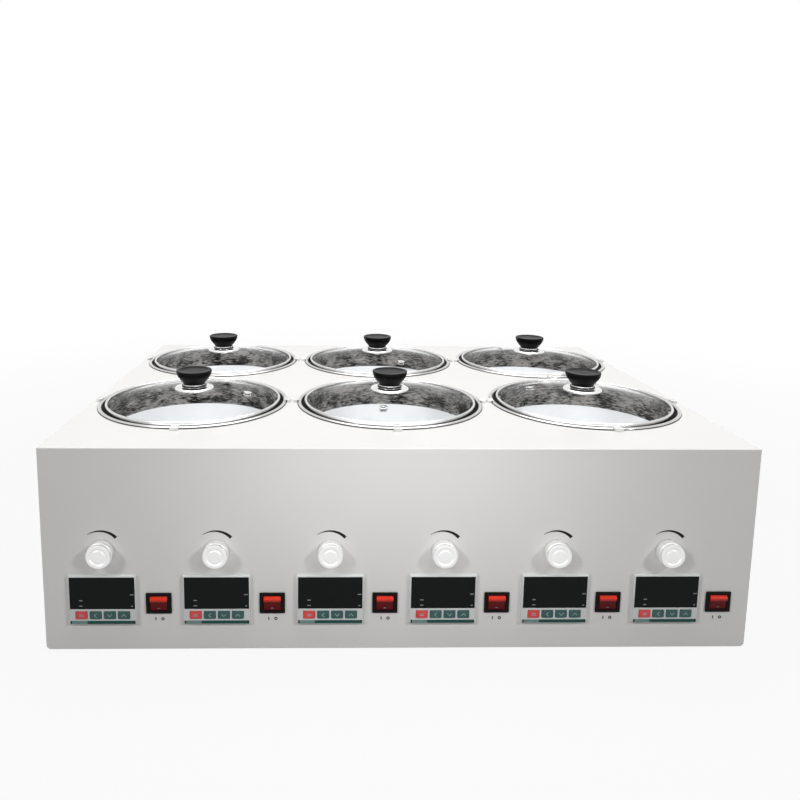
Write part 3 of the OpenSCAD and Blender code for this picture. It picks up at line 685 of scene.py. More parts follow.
def clear_glass(base):
    """Clear glass that lets the lamps' light through to what lies below."""
    material, tree, shader = finish("clear_glass", base, Roughness=0.0, IOR=1.04, Transmission_Weight=1.0)
    light = node(tree, "ShaderNodeLightPath").outputs["Is Shadow Ray"]
    passed = node(tree, "ShaderNodeBsdfTransparent", {"Color": (*darker(base, 0.95), 1)}).outputs[0]
    mixed = node(tree, "ShaderNodeMixShader", {0: light, 1: shader.outputs[0], 2: passed})
    tree.links.new(mixed.outputs[0], tree.nodes["Material Output"].inputs["Surface"])
    return material


def dull_metal(name, base, roughness, metallic=1.0):
    """Cast, coated or turned metal, as of the clips and the inner works."""
    material, tree, shader = finish(name, base, Metallic=metallic)
    cloud = grain(tree, 45, detail=5)
    vary_colour(tree, shader, cloud, base, 0.75)
    vary_roughness(tree, shader, cloud, roughness - 0.08, roughness + 0.08)
    raise_grain(tree, shader, grain(tree, 600), 0.10)
    return material


# Pieces
class STIRRER_OT_cabinet(bpy.types.Operator):
    """Makes the folded sheet cabinet with rounded folds"""

    bl_idname = "stirrer.cabinet"
    bl_label = "Cabinet"
    bl_options = {"REGISTER", "UNDO"}

    def execute(self, context):
        looks = context.scene.stirrer_cabinet
        piece = copy_of_node("cabinet", "cabinet_shell", self.hole_cuts())
        half = CABINET_HIGH.x
        least_turn = math.radians(60)

        def on_end(point):
            return min(abs(point.y - FRONT_Y), abs(point.y - CABINET_HIGH.y)) < TOUCH

        def on_outline(point):
            beside = half - abs(point.x) < TOUCH or abs(point.z - DECK_Z) < TOUCH
            return beside or point.z < CABINET_LOW.z + looks.corner

        def on_fold(edge):
            if not edge.is_manifold or edge.calc_face_angle() < least_turn:
                return False
            ends = [vert.co for vert in edge.verts]
            round_end = all(on_end(end) and on_outline(end) for end in ends)
            along_side = all(half - abs(end.x) < TOUCH and abs(end.z - DECK_Z) < TOUCH for end in ends)
            return round_end or along_side

        with editing(piece):
            pick(piece, "edges", on_fold)
            bpy.ops.mesh.bevel(offset=looks.fold, segments=4, affect="EDGES", clamp_overlap=True)
        smooth(piece)
        dress(piece, "housing", powder_paint(looks.paint), "cabinet", slot="white_paint")
        return {"FINISHED"}

    @staticmethod
    def hole_cuts():
        """Cuts that pass through every hole in the deck and in the front and back walls."""
        points = [vert.co for vert in frame["nodes"]["cabinet"].data.vertices]
        back = [point.z for point in points if CABINET_HIGH.y - point.y < TOUCH]
        slots = [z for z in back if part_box("cord_gland")[1].z < z < DECK_Z - TOUCH]
        fitted = [level_cut(solid) for solid in ("controller_cases", "switch_housings", "cord_gland")]
        rows = [Vector((0, y, 0)) for y in sorted({bath_axis(bath).y for bath in BATHS})]
        return [UP * knob_axis(1).z, UP * (min(slots) + max(slots)) / 2, *fitted, *rows]


class STIRRER_OT_printed_marks(bpy.types.Operator):
    """Prints the speed arcs over the knobs and the on and off marks under the switches"""

    bl_idname = "stirrer.printed_marks"
    bl_label = "Printed marks"
    bl_options = {"REGISTER", "UNDO"}

    def execute(self, context):
        looks = context.scene.stirrer_cabinet
        material = ink("panel_ink", looks.ink)
        share_stations(self.speed_arc(looks), "speed_arc", material)
        share_stations(self.switch_marks(looks), "switch_marks", material)
        return {"FINISHED"}

    @staticmethod
    def speed_arc(looks):
        """A crescent over the knob that widens clockwise."""
        steps = 20
        centre = knob_axis(1)
        start = math.radians(90) - looks.arc_turn + looks.arc_half
        turns = [start - 2 * looks.arc_half * k / steps for k in range(steps + 1)]
        widths = [looks.arc_thin + (looks.arc_w - looks.arc_thin) * k / steps for k in range(steps + 1)]
        rays = [Vector((math.cos(turn), 0, math.sin(turn))) for turn in turns]
        outer = [centre + ray * looks.arc_r for ray in rays]
        inner = [centre + ray * (looks.arc_r - width) for ray, width in zip(rays, widths)]
        return flat_sheet("speed_arc", outer + inner[::-1], looks.ink_t)

    @staticmethod
    def switch_marks(looks):
        """A bar for on and a ring for off."""
        switch = rocker_axis(1)
        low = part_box("switch_housings")[0].z
        centre = Vector((switch.x, FRONT_Y, low - looks.mark_drop))
        bar_half = Vector((looks.mark_w / 2, 0, looks.mark_h / 2))
        bar_place = centre - SIDE * looks.mark_dx
        bar = new_block("on_mark", bar_place - bar_half + OUT * looks.ink_t, bar_place + bar_half)
        ring_place = centre + SIDE * looks.mark_dx
        ring = flat_ring("off_mark", looks.mark_h / 2, looks.mark_w, looks.ink_t, ring_place)
        return join_pieces([bar, ring], "switch_marks")


class STIRRER_OT_bath_pots(bpy.types.Operator):
    """Spins the steel pots with their ledge and rolled rim"""

    bl_idname = "stirrer.bath_pots"
    bl_label = "Bath pots"
    bl_options = {"REGISTER", "UNDO"}

    def execute(self, context):
        looks = context.scene.stirrer_bath
        floor_z = POT_UNDER + looks.wall_t - DECK_Z
        ledge_z = -looks.ledge_drop
        ledge_r = looks.pot_r + looks.ledge_w
        shade_band_z = ledge_z - looks.shade_band_z
        bend, turn, roll = looks.bend, looks.ledge_bend, looks.rim_w / 2
        section = [(0, floor_z)]
        section += [(looks.pot_r * part, floor_z) for part in (0.3, 0.6)]
        section += bend_points((looks.pot_r - bend, floor_z + bend), bend, -90, 0, 8)
        section += [(looks.pot_r, shade_band_z)]
        section += bend_points((looks.pot_r + turn, ledge_z - turn), turn, 180, 90, 4)
        section += bend_points((ledge_r - turn, ledge_z + turn), turn, -90, 0, 3)
        section += bend_points((ledge_r + roll, 0), roll, 180, 0, 12)
        pot = spin_section("bath_pot", section, bath_axis(1), steps=160)
        with editing(pot):
            pick(pot, "faces", lambda face: face.calc_center_median().z < POT_UNDER + 2 * looks.wall_t)
            drawn = bmesh.from_edit_mesh(pot.data)
            down = any(face.select and face.normal.z < 0 for face in drawn.faces)
            bpy.ops.mesh.select_all(action="SELECT")
            if down:
                bpy.ops.mesh.flip_normals()
        apply_modifier(pot, "SOLIDIFY", thickness=looks.wall_t, offset=-1)
        self.finish_pot(pot, looks, ledge_z + DECK_Z, ledge_r)
        smooth(pot, flat_faces=False)
        first = bath_axis(1)
        for bath in BATHS:
            piece = copy_piece(pot, f"bath_pot_{bath}", bath_axis(bath) - first)
            dress(piece, "housing", None, "bath_pots", slot="polished_steel")
        bpy.data.objects.remove(pot)
        return {"FINISHED"}

    @staticmethod
    def finish_pot(pot, looks, ledge_z, ledge_r):
        """Gives the upper wall, the recess round the lid, the rim and its seal their own finishes. The dark
        upper wall, the dark recess and the dark seal band under the rim are painted shade against the pale
        steel.
        """
        centre = bath_axis(1)

        def radius(point):
            return math.hypot(point.x - centre.x, point.y - centre.y)

        def shaded_upper_wall(face):
            middle = face.calc_center_median()
            in_band = ledge_z - looks.shade_band_z < middle.z < ledge_z
            return in_band and radius(middle) < looks.pot_r + 0.3 * looks.ledge_w

        def ledge(face):
            middle = face.calc_center_median()
            return middle.z > ledge_z - looks.wall_t and looks.pot_r + looks.wall_t < radius(middle)

        def rim(face):
            return radius(face.calc_center_median()) > ledge_r

        # The rim's lower side near the deck gets the dark seal, painted contact shade
        def seal(face):
            middle = face.calc_center_median()
            return middle.z < DECK_Z + looks.seal_h and radius(middle) > ledge_r + looks.rim_w / 2

        assign_zones(pot, satin_steel(looks.steel), (
            # Painted reflection of the shaded wall across the pot, on the upper wall
            (drawn_steel("drawn_steel", looks.dull_shade), shaded_upper_wall),
            # Painted shade in the recess round the lid
            (drawn_steel("groove_steel", darker(looks.dull_shade, looks.groove)), ledge),
            (bright_steel("rim_steel", looks.rim, 0.14), rim),
            # Painted contact shade under the rolled rim, as a dark seal
            (moulded("rim_seal", looks.seal, 0.6), seal),
        ))


class STIRRER_OT_rim_clips(bpy.types.Operator):
    """Makes the small clips that hold the pots' rims to the deck"""

    bl_idname = "stirrer.rim_clips"
    bl_label = "Rim clips"
    bl_options = {"REGISTER", "UNDO"}

    def execute(self, context):
        scene = context.scene
        looks = scene.stirrer_bath
        centre = bath_axis(1)
        seat = scene.stirrer_lid.seat
        rim_r = looks.pot_r + looks.ledge_w + looks.rim_w
        lip_z = looks.rim_w / 2 + seat
        half = looks.clip_w / 2
        low = centre + Vector((rim_r + seat, -half, 0))
        high = centre + Vector((rim_r + looks.clip_reach, half, lip_z + looks.clip_t))
        clip = new_block("rim_clip", low, high)
        with editing(clip):
            bpy.ops.mesh.bisect(plane_co=centre + UP * lip_z, plane_no=UP)
            pick(
                clip, "faces",
                lambda face: face.normal.x < -FACING and face.calc_center_median().z > centre.z + lip_z,
            )
            reach = Vector((-looks.rim_w / 2 - seat, 0, 0))
            bpy.ops.mesh.extrude_region_move(TRANSFORM_OT_translate={"value": reach})
        soften(clip, looks.clip_edge)
        smooth(clip)
        material = dull_metal("clip_metal", looks.clip, 0.32, metallic=0.6)
        for bath in BATHS:
            axis = bath_axis(bath)
            clips = [
                copy_piece(clip, f"rim_clip_{bath}_{quarter}", axis - centre, quarter * math.pi / 2, centre)
                for quarter in QUARTERS
            ]
            joined = join_pieces(clips, f"rim_clips_{bath}")
            dress(joined, "housing", material, "bath_pots", slot="polished_steel")
        bpy.data.objects.remove(clip)
        return {"FINISHED"}


def lid_heights(looks):
    """Heights in the frame, and radii, that the parts of a lid share."""
    grip_z = LID_HIGH.z - looks.grip_h
    collar_z = grip_z - looks.seat - looks.collar_h
    crown_z = collar_z - looks.seat
    ring_r = (LID_HIGH.x - LID_LOW.x) / 2
    glass_r = ring_r - looks.ring_w
    dome_r = (glass_r ** 2 + looks.rise ** 2) / (2 * looks.rise)
    return {
        "grip": grip_z, "collar": collar_z, "crown": crown_z,
        "ring_r": ring_r, "glass_r": glass_r, "dome_r": dome_r,
    }


def lid_axis(bath, height=0.0):
    """A point of a lid's axis at a height in the frame."""
    axis = bath_axis(bath)
    return Vector((axis.x, axis.y, height))


def share_lids(source, name, material, slot, turned=False):
    """Copies a piece of the first lid to every lid, turned as each lid lies."""
    first = lid_axis(1)
    for bath in BATHS:
        turn = math.radians(VENT_TURNS[bath - 1] - VENT_TURNS[0]) if turned else 0
        piece = copy_piece(source, f"{name}_{bath}", lid_axis(bath) - first, turn, first)
        dress(piece, f"lid_{bath}", material, f"lid_{bath}", slot=slot)
    bpy.data.objects.remove(source)


def vent_place(looks, heights):
    """Turns a shape drawn upright at the origin so that it stands on the glass at the first lid's vent."""
    lean = math.asin(looks.vent_r / heights["dome_r"])
    return (
        Matrix.Translation(lid_axis(1, heights["crown"] - heights["dome_r"]))
        @ Matrix.Rotation(math.radians(VENT_TURNS[0]), 4, "Z")
        @ Matrix.Rotation(lean, 4, "Y")
        @ Matrix.Translation(UP * heights["dome_r"])
    )


class STIRRER_OT_lid_glass(bpy.types.Operator):
    """Spins the domed glass of the lids and cuts its vent hole"""

    bl_idname = "stirrer.lid_glass"
    bl_label = "Lid glass"
    bl_options = {"REGISTER", "UNDO"}

    def execute(self, context):
        looks = context.scene.stirrer_lid
        heights = lid_heights(looks)
        dome_r, edge_r = heights["dome_r"], heights["glass_r"] - looks.seat
        inner_r = dome_r - looks.glass_t
        hole_r = looks.screw_r + looks.seat
        steps = 24
        radii = [hole_r + (edge_r - hole_r) * k / steps for k in range(steps + 1)]
        base = heights["crown"] - dome_r
        outer = [(r, base + math.sqrt(dome_r ** 2 - r ** 2)) for r in radii]
        inner = [(r, base + math.sqrt(inner_r ** 2 - r ** 2)) for r in reversed(radii)]
        glass = spin_section("lid_glass", outer + inner + outer[:1], lid_axis(1), steps=144)
        deselect()
        bpy.ops.mesh.primitive_cylinder_add(vertices=48, radius=looks.vent_hole_r, depth=6 * looks.glass_t)
        drill = bpy.context.object
        drill.data.transform(vent_place(looks, heights))
        apply_modifier(glass, "BOOLEAN", object=drill, operation="DIFFERENCE", solver="EXACT")
        bpy.data.objects.remove(drill)
        smooth(glass, flat_faces=False)
        share_lids(glass, "lid_glass", clear_glass(looks.glass), "lid_glass", turned=True)
        return {"FINISHED"}


class STIRRER_OT_lid_rings(bpy.types.Operator):
    """Spins the steel rings round the glass"""

    bl_idname = "stirrer.lid_rings"
    bl_label = "Lid rings"
    bl_options = {"REGISTER", "UNDO"}

    def execute(self, context):
        scene = context.scene
        looks = scene.stirrer_lid
        heights = lid_heights(looks)
        ring_r, glass_r, dome_r = heights["ring_r"], heights["glass_r"], heights["dome_r"]
        foot = LID_LOW.z
        roll = looks.ring_w / 2
        crest = heights["crown"] - dome_r + math.sqrt(dome_r ** 2 - glass_r ** 2)
        section = [(glass_r - looks.lip_w, foot), (ring_r, foot)]
        section += bend_points((glass_r + roll, crest), roll, 0, 180, 10)
        section += [(glass_r, foot + looks.lip_t), (glass_r - looks.lip_w, foot + looks.lip_t)]
        centre = lid_axis(1)
        ring = spin_section("lid_ring", section + section[:1], centre, steps=160)

        def lip(face):
            middle = face.calc_center_median()
            return math.hypot(middle.x - centre.x, middle.y - centre.y) < glass_r - looks.lip_w / 4

        # Painted shade: the ring's lip under the glass gets the dark steel, standing in for the shade under
        # the glass
        lip_steel = drawn_steel("lip_steel", scene.stirrer_bath.dull_shade)
        assign_zones(ring, bright_steel("ring_steel", looks.ring, 0.14), [(lip_steel, lip)])
        smooth(ring, flat_faces=False)
        share_lids(ring, "lid_ring", None, "polished_steel")
        return {"FINISHED"}


class STIRRER_OT_lid_vents(bpy.types.Operator):
    """Spins the vent eyelets and sets them in the glass"""

    bl_idname = "stirrer.lid_vents"
    bl_label = "Lid vents"
    bl_options = {"REGISTER", "UNDO"}

    def execute(self, context):
        looks = context.scene.stirrer_lid
        heights = lid_heights(looks)
        flange_r = looks.vent_hole_r + looks.eyelet_w
        sag = flange_r ** 2 / heights["dome_r"]
        neck_r, bore_r = looks.vent_hole_r - looks.seat, looks.vent_hole_r / 2
        top, under = looks.seat + looks.eyelet_t, -looks.glass_t - sag
        low = under - looks.eyelet_t
        section = [
            (bore_r, low), (flange_r, low), (flange_r, under), (neck_r, under),
            (neck_r, looks.seat), (flange_r, looks.seat), (flange_r, top), (bore_r, top),
        ]
        eyelet = spin_section("lid_vent", section + section[:1], Vector((0, 0, 0)), steps=48)
        soften(eyelet, looks.eyelet_t / 3, segments=2)
        smooth(eyelet, flat_faces=False)
        eyelet.data.transform(vent_place(looks, heights))
        material = bright_steel("eyelet_steel", looks.chrome, 0.15)
        share_lids(eyelet, "lid_vent", material, "polished_steel", turned=True)
        return {"FINISHED"}


class STIRRER_OT_lid_collars(bpy.types.Operator):
    """Spins the collar dishes under the lid knobs, with their seals"""

    bl_idname = "stirrer.lid_collars"
    bl_label = "Lid collars"
    bl_options = {"REGISTER", "UNDO"}

    def execute(self, context):
        looks = context.scene.stirrer_lid
        heights = lid_heights(looks)
        foot, top = heights["collar"], heights["collar"] + looks.collar_h
        hole_r = looks.screw_r + looks.seat
        neck_r = looks.grip_foot_r + looks.collar_lap
        washer_r = looks.grip_foot_r + looks.collar_lap / 2
        brim = looks.collar_t / 2
        run, climb = looks.collar_r - neck_r, looks.collar_h - looks.collar_t - 2 * looks.washer_t
        shade_seal_z, washer_z = top - 2 * looks.washer_t, top - looks.washer_t
        section = [(hole_r, foot), (looks.collar_r - brim, foot)]
        section += bend_points((looks.collar_r - brim, foot + brim), brim, -60, 0, 4)
        steps = 12
        for k in range(steps + 1):
            turn = math.radians(90 * k / steps)
            section.append((neck_r + run * math.cos(turn), foot + looks.collar_t + climb * math.sin(turn)))
        section += [(washer_r, shade_seal_z), (washer_r, top), (hole_r, top)]
        collar = spin_section("lid_collar", section + section[:1], lid_axis(1), steps=96)
        smooth(collar, flat_faces=False)
        share_lids(collar, "lid_collar", bright_steel("collar_steel", looks.chrome, 0.16), "polished_steel")
        # A black seal ring round the knob's foot, also painted shade of the gap between knob and collar
        inner_r, low = washer_r + TOUCH, shade_seal_z + TOUCH
        section = [(inner_r, low), (neck_r, low), (neck_r, washer_z), (inner_r, washer_z), (inner_r, low)]
        seal = spin_section("lid_seal", section, lid_axis(1), steps=96)
        soften(seal, looks.washer_t / 5, segments=2)
        smooth(seal, flat_faces=False)
        share_lids(seal, "lid_seal", moulded("seal_black", looks.knob, 0.5, shine=0.2), "black_plastic")
        return {"FINISHED"}


class STIRRER_OT_lid_knobs(bpy.types.Operator):
    """Spins the black lid knobs and the screws that hold them"""

    bl_idname = "stirrer.lid_knobs"
    bl_label = "Lid knobs"
    bl_options = {"REGISTER", "UNDO"}

    def execute(self, context):
        looks = context.scene.stirrer_lid
        heights = lid_heights(looks)
        self.grips(looks, heights["grip"])
        self.screws(looks, heights)
        return {"FINISHED"}

    @staticmethod
    def grips(looks, foot):
        top = LID_HIGH.z
        edge_z = top - looks.grip_edge
        steps = 20
        hole_r = looks.screw_r + looks.seat
        swell = looks.grip_r - looks.grip_foot_r
        section = [(hole_r, foot)]
        for k in range(steps + 1):
            swollen = swell * math.sin(math.radians(90 * k / steps)) ** looks.grip_flare
            section.append((looks.grip_foot_r + swollen, foot + (edge_z - foot) * k / steps))
        rounding = looks.grip_round
        section += bend_points((looks.grip_r - rounding, top - rounding), rounding, 0, 90, 5)
        rim_r = looks.grip_r - rounding - looks.grip_rim
        dish_r = rim_r - looks.grip_rim
        dish = looks.grip_dish
        section += [(rim_r, top), ((rim_r + dish_r) / 2, top - dish / 2), (dish_r, top - dish)]
        section += [(dish_r / 2, top - 1.2 * dish), (0, top - 1.3 * dish)]
        bore_z = foot + looks.bore_share * looks.grip_h
        section += [(0, bore_z), (hole_r, bore_z), (hole_r, foot)]
        grip = spin_section("lid_knob", section, lid_axis(1), steps=112)
        smooth(grip, flat_faces=False)
        material = moulded("knob_black", looks.knob, 0.36, low=0.8, shine=0.06, scale=1400, strength=0.12)
        share_lids(grip, "lid_knob", material, "black_plastic")

    @staticmethod
    def screws(looks, heights):
        seat_z = heights["crown"] - looks.glass_t - 2 * looks.seat
        head_z = seat_z - looks.head_t
        head_r, slope = looks.head_r, 0.6
        top = heights["grip"] + looks.bore_share * looks.grip_h - looks.seat
        section = [
            (0, head_z), (slope * head_r, head_z), (head_r, head_z + slope * looks.head_t), (head_r, seat_z),
            (looks.screw_r, seat_z), (looks.screw_r, top), (0, top),
        ]
        screw = spin_section("lid_screw", section, lid_axis(1), steps=48)
        soften(screw, looks.screw_edge, segments=2)
        smooth(screw, flat_faces=False)
        share_lids(screw, "lid_screw", bright_steel("screw_steel", looks.chrome, 0.2), "polished_steel")


class STIRRER_OT_speed_knobs(bpy.types.Operator):
    """Spins the white speed knobs with their stepped front and dished face"""

    bl_idname = "stirrer.speed_knobs"
    bl_label = "Speed knobs"
    bl_options = {"REGISTER", "UNDO"}

    def execute(self, context):
        looks = context.scene.stirrer_control
        reach, step = looks.knob_reach, looks.knob_reach - looks.knob_cap
        face_r, shaft_r, dip = looks.knob_face_r, looks.shaft_r, looks.knob_dip
        well_r, well = looks.knob_well_r, looks.knob_well
        rim_r = face_r - looks.knob_rim
        groove_r = rim_r - dip
        button_r = groove_r - 2 * dip
        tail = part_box("speed_knob_1")[1].y - FRONT_Y
        section = [
            (0, -tail), (shaft_r, -tail), (shaft_r, well), (well_r, well), (well_r, looks.knob_clear),
            (looks.knob_r, looks.knob_clear), (looks.knob_r - looks.knob_draft, step), (face_r, step),
            (face_r, reach), (rim_r, reach), (groove_r, reach - dip), (button_r, reach - dip),
            (button_r - dip / 2, reach - dip / 2), (0, reach - dip / 2),
        ]
        knob = spin_section("speed_knob", section, knob_axis(1), steps=96, along=OUT)
        soften(knob, looks.knob_edge, segments=3, limit=25)
        smooth(knob, flat_faces=False)
        material = moulded("knob_white", looks.knob, 0.34, low=0.97, coat=0.3, pearl=0.65, strength=0.03)
        share_stations(knob, "speed_knob_cap", material, "speed_knob", "white_plastic")
        return {"FINISHED"}


class STIRRER_OT_controllers(bpy.types.Operator):
    """Makes the controllers' cases, windows and colour strips"""

    bl_idname = "stirrer.controllers"
    bl_label = "Controllers"
    bl_options = {"REGISTER", "UNDO"}

    def execute(self, context):
        looks = context.scene.stirrer_control
        self.cases(looks)
        self.windows(looks)
        self.window_signs(looks)
        self.strips(looks)
        return {"FINISHED"}

    @staticmethod
    def cases(looks):
        pockets = [level_cut("controller_windows"), level_cut("key_set_1")]
        piece = copy_of_node("controller_cases", "controller_bezels", pockets)
        half = knob_axis(1).x - CASE_LOW.x - TOUCH

        def on_bezel(point):
            station = min(STATIONS, key=lambda s: abs(knob_axis(s).x - point.x))
            beside = abs(point.x - knob_axis(station).x) > half
            ends = min(abs(point.z - CASE_LOW.z), abs(point.z - CASE_HIGH.z)) < TOUCH
            return (beside or ends) and point.y < FRONT_Y - TOUCH

        with editing(piece):
            pick(piece, "edges", lambda edge: all(on_bezel(vert.co) for vert in edge.verts))
            bpy.ops.mesh.bevel(offset=looks.bezel_edge, segments=3, affect="EDGES", clamp_overlap=True)
        soften(piece, looks.cut_edge, segments=2, limit=60)
        smooth(piece)
        material = moulded("case_grey", looks.case, 0.42, low=0.96, strength=0.05)
        dress(piece, "housing", material, "controller_cases", slot="case_grey")

    @staticmethod
    def windows(looks):
        piece = copy_of_node("controller_windows", "controller_screens")
        soften(piece, looks.window_edge, segments=2)
        smooth(piece)
        material, tree, shader = finish("window_black", looks.window, Specular_IOR_Level=0.08)
        vary_roughness(tree, shader, grain(tree, 300), 0.16, 0.26)
        dress(piece, "housing", material, "controller_windows", slot="window_black")

    @staticmethod
    def window_signs(looks):
        """Small pale marks at the window's edge, as beside the lamps of a display."""
        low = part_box("controller_windows")[0]
        centre = knob_axis(1).x
        half = centre - low.x
        tall = looks.window_sign_h
        marks = []
        for across, rise, wide in WINDOW_SIGNS:
            left = centre + across * half - wide / 2
            corner = Vector((left, low.y - looks.sign_t, low.z + rise - tall / 2))
            mark = new_block("window_sign", corner, corner + Vector((wide, looks.sign_t, tall)))
            soften(mark, INK_EDGE, segments=1)
            marks.append(mark)
        material = ink("window_ink", looks.window_sign)
        share_stations(join_pieces(marks, "window_signs"), "window_signs", material)

    @staticmethod
    def strips(looks):
        centre = knob_axis(1).x
        half = centre - CASE_LOW.x - looks.strip_side
        face = CASE_LOW.y
        low_z = CASE_LOW.z + looks.strip_z
        pale_x = centre - half + 2 * half * looks.pale_share
        left, right, end = centre - half, centre + half, looks.strip_end
        for name, x0, x1, base in (
            ("colour_strip", pale_x, right - end, looks.strip),
            ("pale_strip", left + end, pale_x, looks.strip_pale),
            ("strip_left_end", left, left + end, looks.window),
            ("strip_right_end", right - end, right, looks.window),
        ):
            low = Vector((x0, face - looks.sign_t, low_z))
            strip = new_block(name, low, Vector((x1, face, low_z + looks.strip_h)))
            soften(strip, INK_EDGE, segments=1)
            share_stations(strip, name, ink(f"{name}_ink", base))


class STIRRER_OT_keys(bpy.types.Operator):
    """Makes the soft keys with their pale signs"""

    bl_idname = "stirrer.keys"
    bl_label = "Keys"
    bl_options = {"REGISTER", "UNDO"}

    def execute(self, context):
        looks = context.scene.stirrer_control
        low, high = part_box("key_set_1")
        pad = new_block("key_pad", low, high)
        with editing(pad):
            pick(
                pad, "edges",
                lambda edge: abs((edge.verts[0].co - edge.verts[1].co).normalized().y) > FACING,
            )
            bpy.ops.mesh.bevel(offset=looks.key_corner, segments=5, affect="EDGES", clamp_overlap=True)
            pick(pad, "faces", lambda face: face.normal.y < -FACING)
            bpy.ops.mesh.bevel(offset=looks.key_edge, segments=3, affect="EDGES", clamp_overlap=True)
        smooth(pad)
        red = moulded("key_red", looks.key_red, 0.45, low=0.85)
        green = moulded("key_green", looks.key_green, 0.45, low=0.8)
        sign_ink = ink("key_sign_ink", looks.sign)
        middle = (low + high) / 2
        signs = {key: self.sign(key, looks, Vector((middle.x, low.y, middle.z))) for key in KEYS}
        for station in STATIONS:
            for key in KEYS:
                name = f"key_{key}_{station}"
                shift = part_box(name)[0] - low
                slot = "key_red" if key == "set" else "key_green"
                pad_copy = copy_piece(pad, f"{name}_pad", shift)
                dress(pad_copy, name, red if key == "set" else green, name, slot=slot)
                dress(copy_piece(signs[key], f"{name}_sign", shift), name, sign_ink)
        for source in (pad, *signs.values()):
            bpy.data.objects.remove(source)
        return {"FINISHED"}

    @staticmethod
    def sign(key, looks, place):
        """Two bars on the set key, and an arrow head on each of the others."""
        half, stroke = looks.sign_half, looks.sign_w
        if key == "set":
            bars = []
            for side in (-1, 1):
                corner = place + Vector((-half, -looks.sign_t, side * stroke - stroke / 2))
                size = Vector((2 * half, looks.sign_t, stroke))
                bars.append(new_block("key_sign", corner, corner + size))
            return join_pieces(bars, "key_sign")
        turn = {"shift": 90, "down": 180, "up": 0}[key]
        tall, drop = 0.55 * half, 1.2 * stroke
        points = [
            (-half, -tall), (0, tall), (half, -tall),
            (half, -tall - drop), (0, tall - drop), (-half, -tall - drop),
        ]
        turned = Matrix.Rotation(math.radians(-turn), 3, "Y")
        outline = [place + turned @ Vector((x, 0, z + drop / 2)) for x, z in points]
        return flat_sheet("key_sign", outline, looks.sign_t)


class STIRRER_OT_switches(bpy.types.Operator):
    """Makes the black switch housings and the red rockers"""

    bl_idname = "stirrer.switches"
    bl_label = "Switches"
    bl_options = {"REGISTER", "UNDO"}

    def execute(self, context):
        looks = context.scene.stirrer_control
        housing = copy_of_node("switch_housings", "switch_frames", [level_cut("switch_housings")])
        soften(housing, looks.switch_edge, segments=3, limit=60)
        smooth(housing)
        material = moulded("switch_black", looks.housing, 0.34, low=0.8, shine=0.08)
        dress(housing, "housing", material, "switch_housings", slot="black_plastic")
        red = self.rocker_red(looks)
        white = ink("rocker_ink", looks.sign)
        for station in STATIONS:
            name = f"rocker_{station}"
            rocker = copy_of_node(name, f"{name}_cap")
            soften(rocker, looks.rocker_edge, segments=3, limit=30)
            smooth(rocker)
            dress(rocker, name, red, name, slot="rocker_red")
            dress(self.rocker_sign(looks, station), name, white)
        return {"FINISHED"}

    @staticmethod
    def rocker_red(looks):
        """Red plastic that lets a little light through, with painted light: its colour runs from a
        painted-shade deep red low on the rocker to a painted-lit bright red at its top.
        """
        material, tree, shader = finish(
            "rocker_red", looks.rocker, Coat_Weight=0.04, Coat_Roughness=0.06, Subsurface_Weight=0.1,
            Subsurface_Scale=0.004, Specular_IOR_Level=0.08,
        )
        shader.inputs["Subsurface Radius"].default_value = (1.0, 0.15, 0.08)
        place = node(tree, "ShaderNodeTexCoord").outputs["Object"]
        height = node(tree, "ShaderNodeSeparateXYZ", {0: place}).outputs["Z"]
        middle = rocker_axis(1).z
        # Painted light: the red brightens with height, from painted shade to a painted highlight at the top
        rise = spread(tree, height, 0, 1, middle + looks.rocker_deep_z, middle + looks.rocker_bright_z)
        shade = blend_colours(tree, rise, tuple(looks.rocker_deep), tuple(looks.rocker))
        tree.links.new(shade, shader.inputs["Base Color"])
        vary_roughness(tree, shader, grain(tree, 250), 0.20, 0.32)
        return material

    @staticmethod
    def rocker_sign(looks, station):
        """A small ring on the lower half of the rocker, square to its face."""
        axis = rocker_axis(station)
        travel = math.radians(JOINTS[f"rocker_{station}_tilt"]["range_deg"][1])
        half = travel / 2
        down = looks.ring_drop
        face = Vector((0, -looks.rocker_valley - down * math.tan(half), -down))
        name = f"rocker_sign_{station}"
        ring = flat_ring(name, looks.ring_r, looks.ring_w, looks.sign_t, Vector((0, 0, 0)))
        lean = Matrix.Translation(face) @ Matrix.Rotation(half, 4, "X")
        ring.data.transform(Matrix.Translation(axis) @ Matrix.Rotation(half, 4, "X") @ lean)
        return ring


class STIRRER_OT_cord_gland(bpy.types.Operator):
    """Makes the cord gland in the back wall"""

    bl_idname = "stirrer.cord_gland"
    bl_label = "Cord gland"
    bl_options = {"REGISTER", "UNDO"}

    def execute(self, context):
        looks = context.scene.stirrer_control
        piece = copy_of_node("cord_gland", "cord_gland_body", [level_cut("cord_gland")])
        soften(piece, looks.gland_edge, segments=2, limit=40)
        smooth(piece)
        material = moulded("gland_black", looks.housing, 0.45, low=0.8)
        dress(piece, "housing", material, "cord_gland", slot="black_plastic")
        return {"FINISHED"}


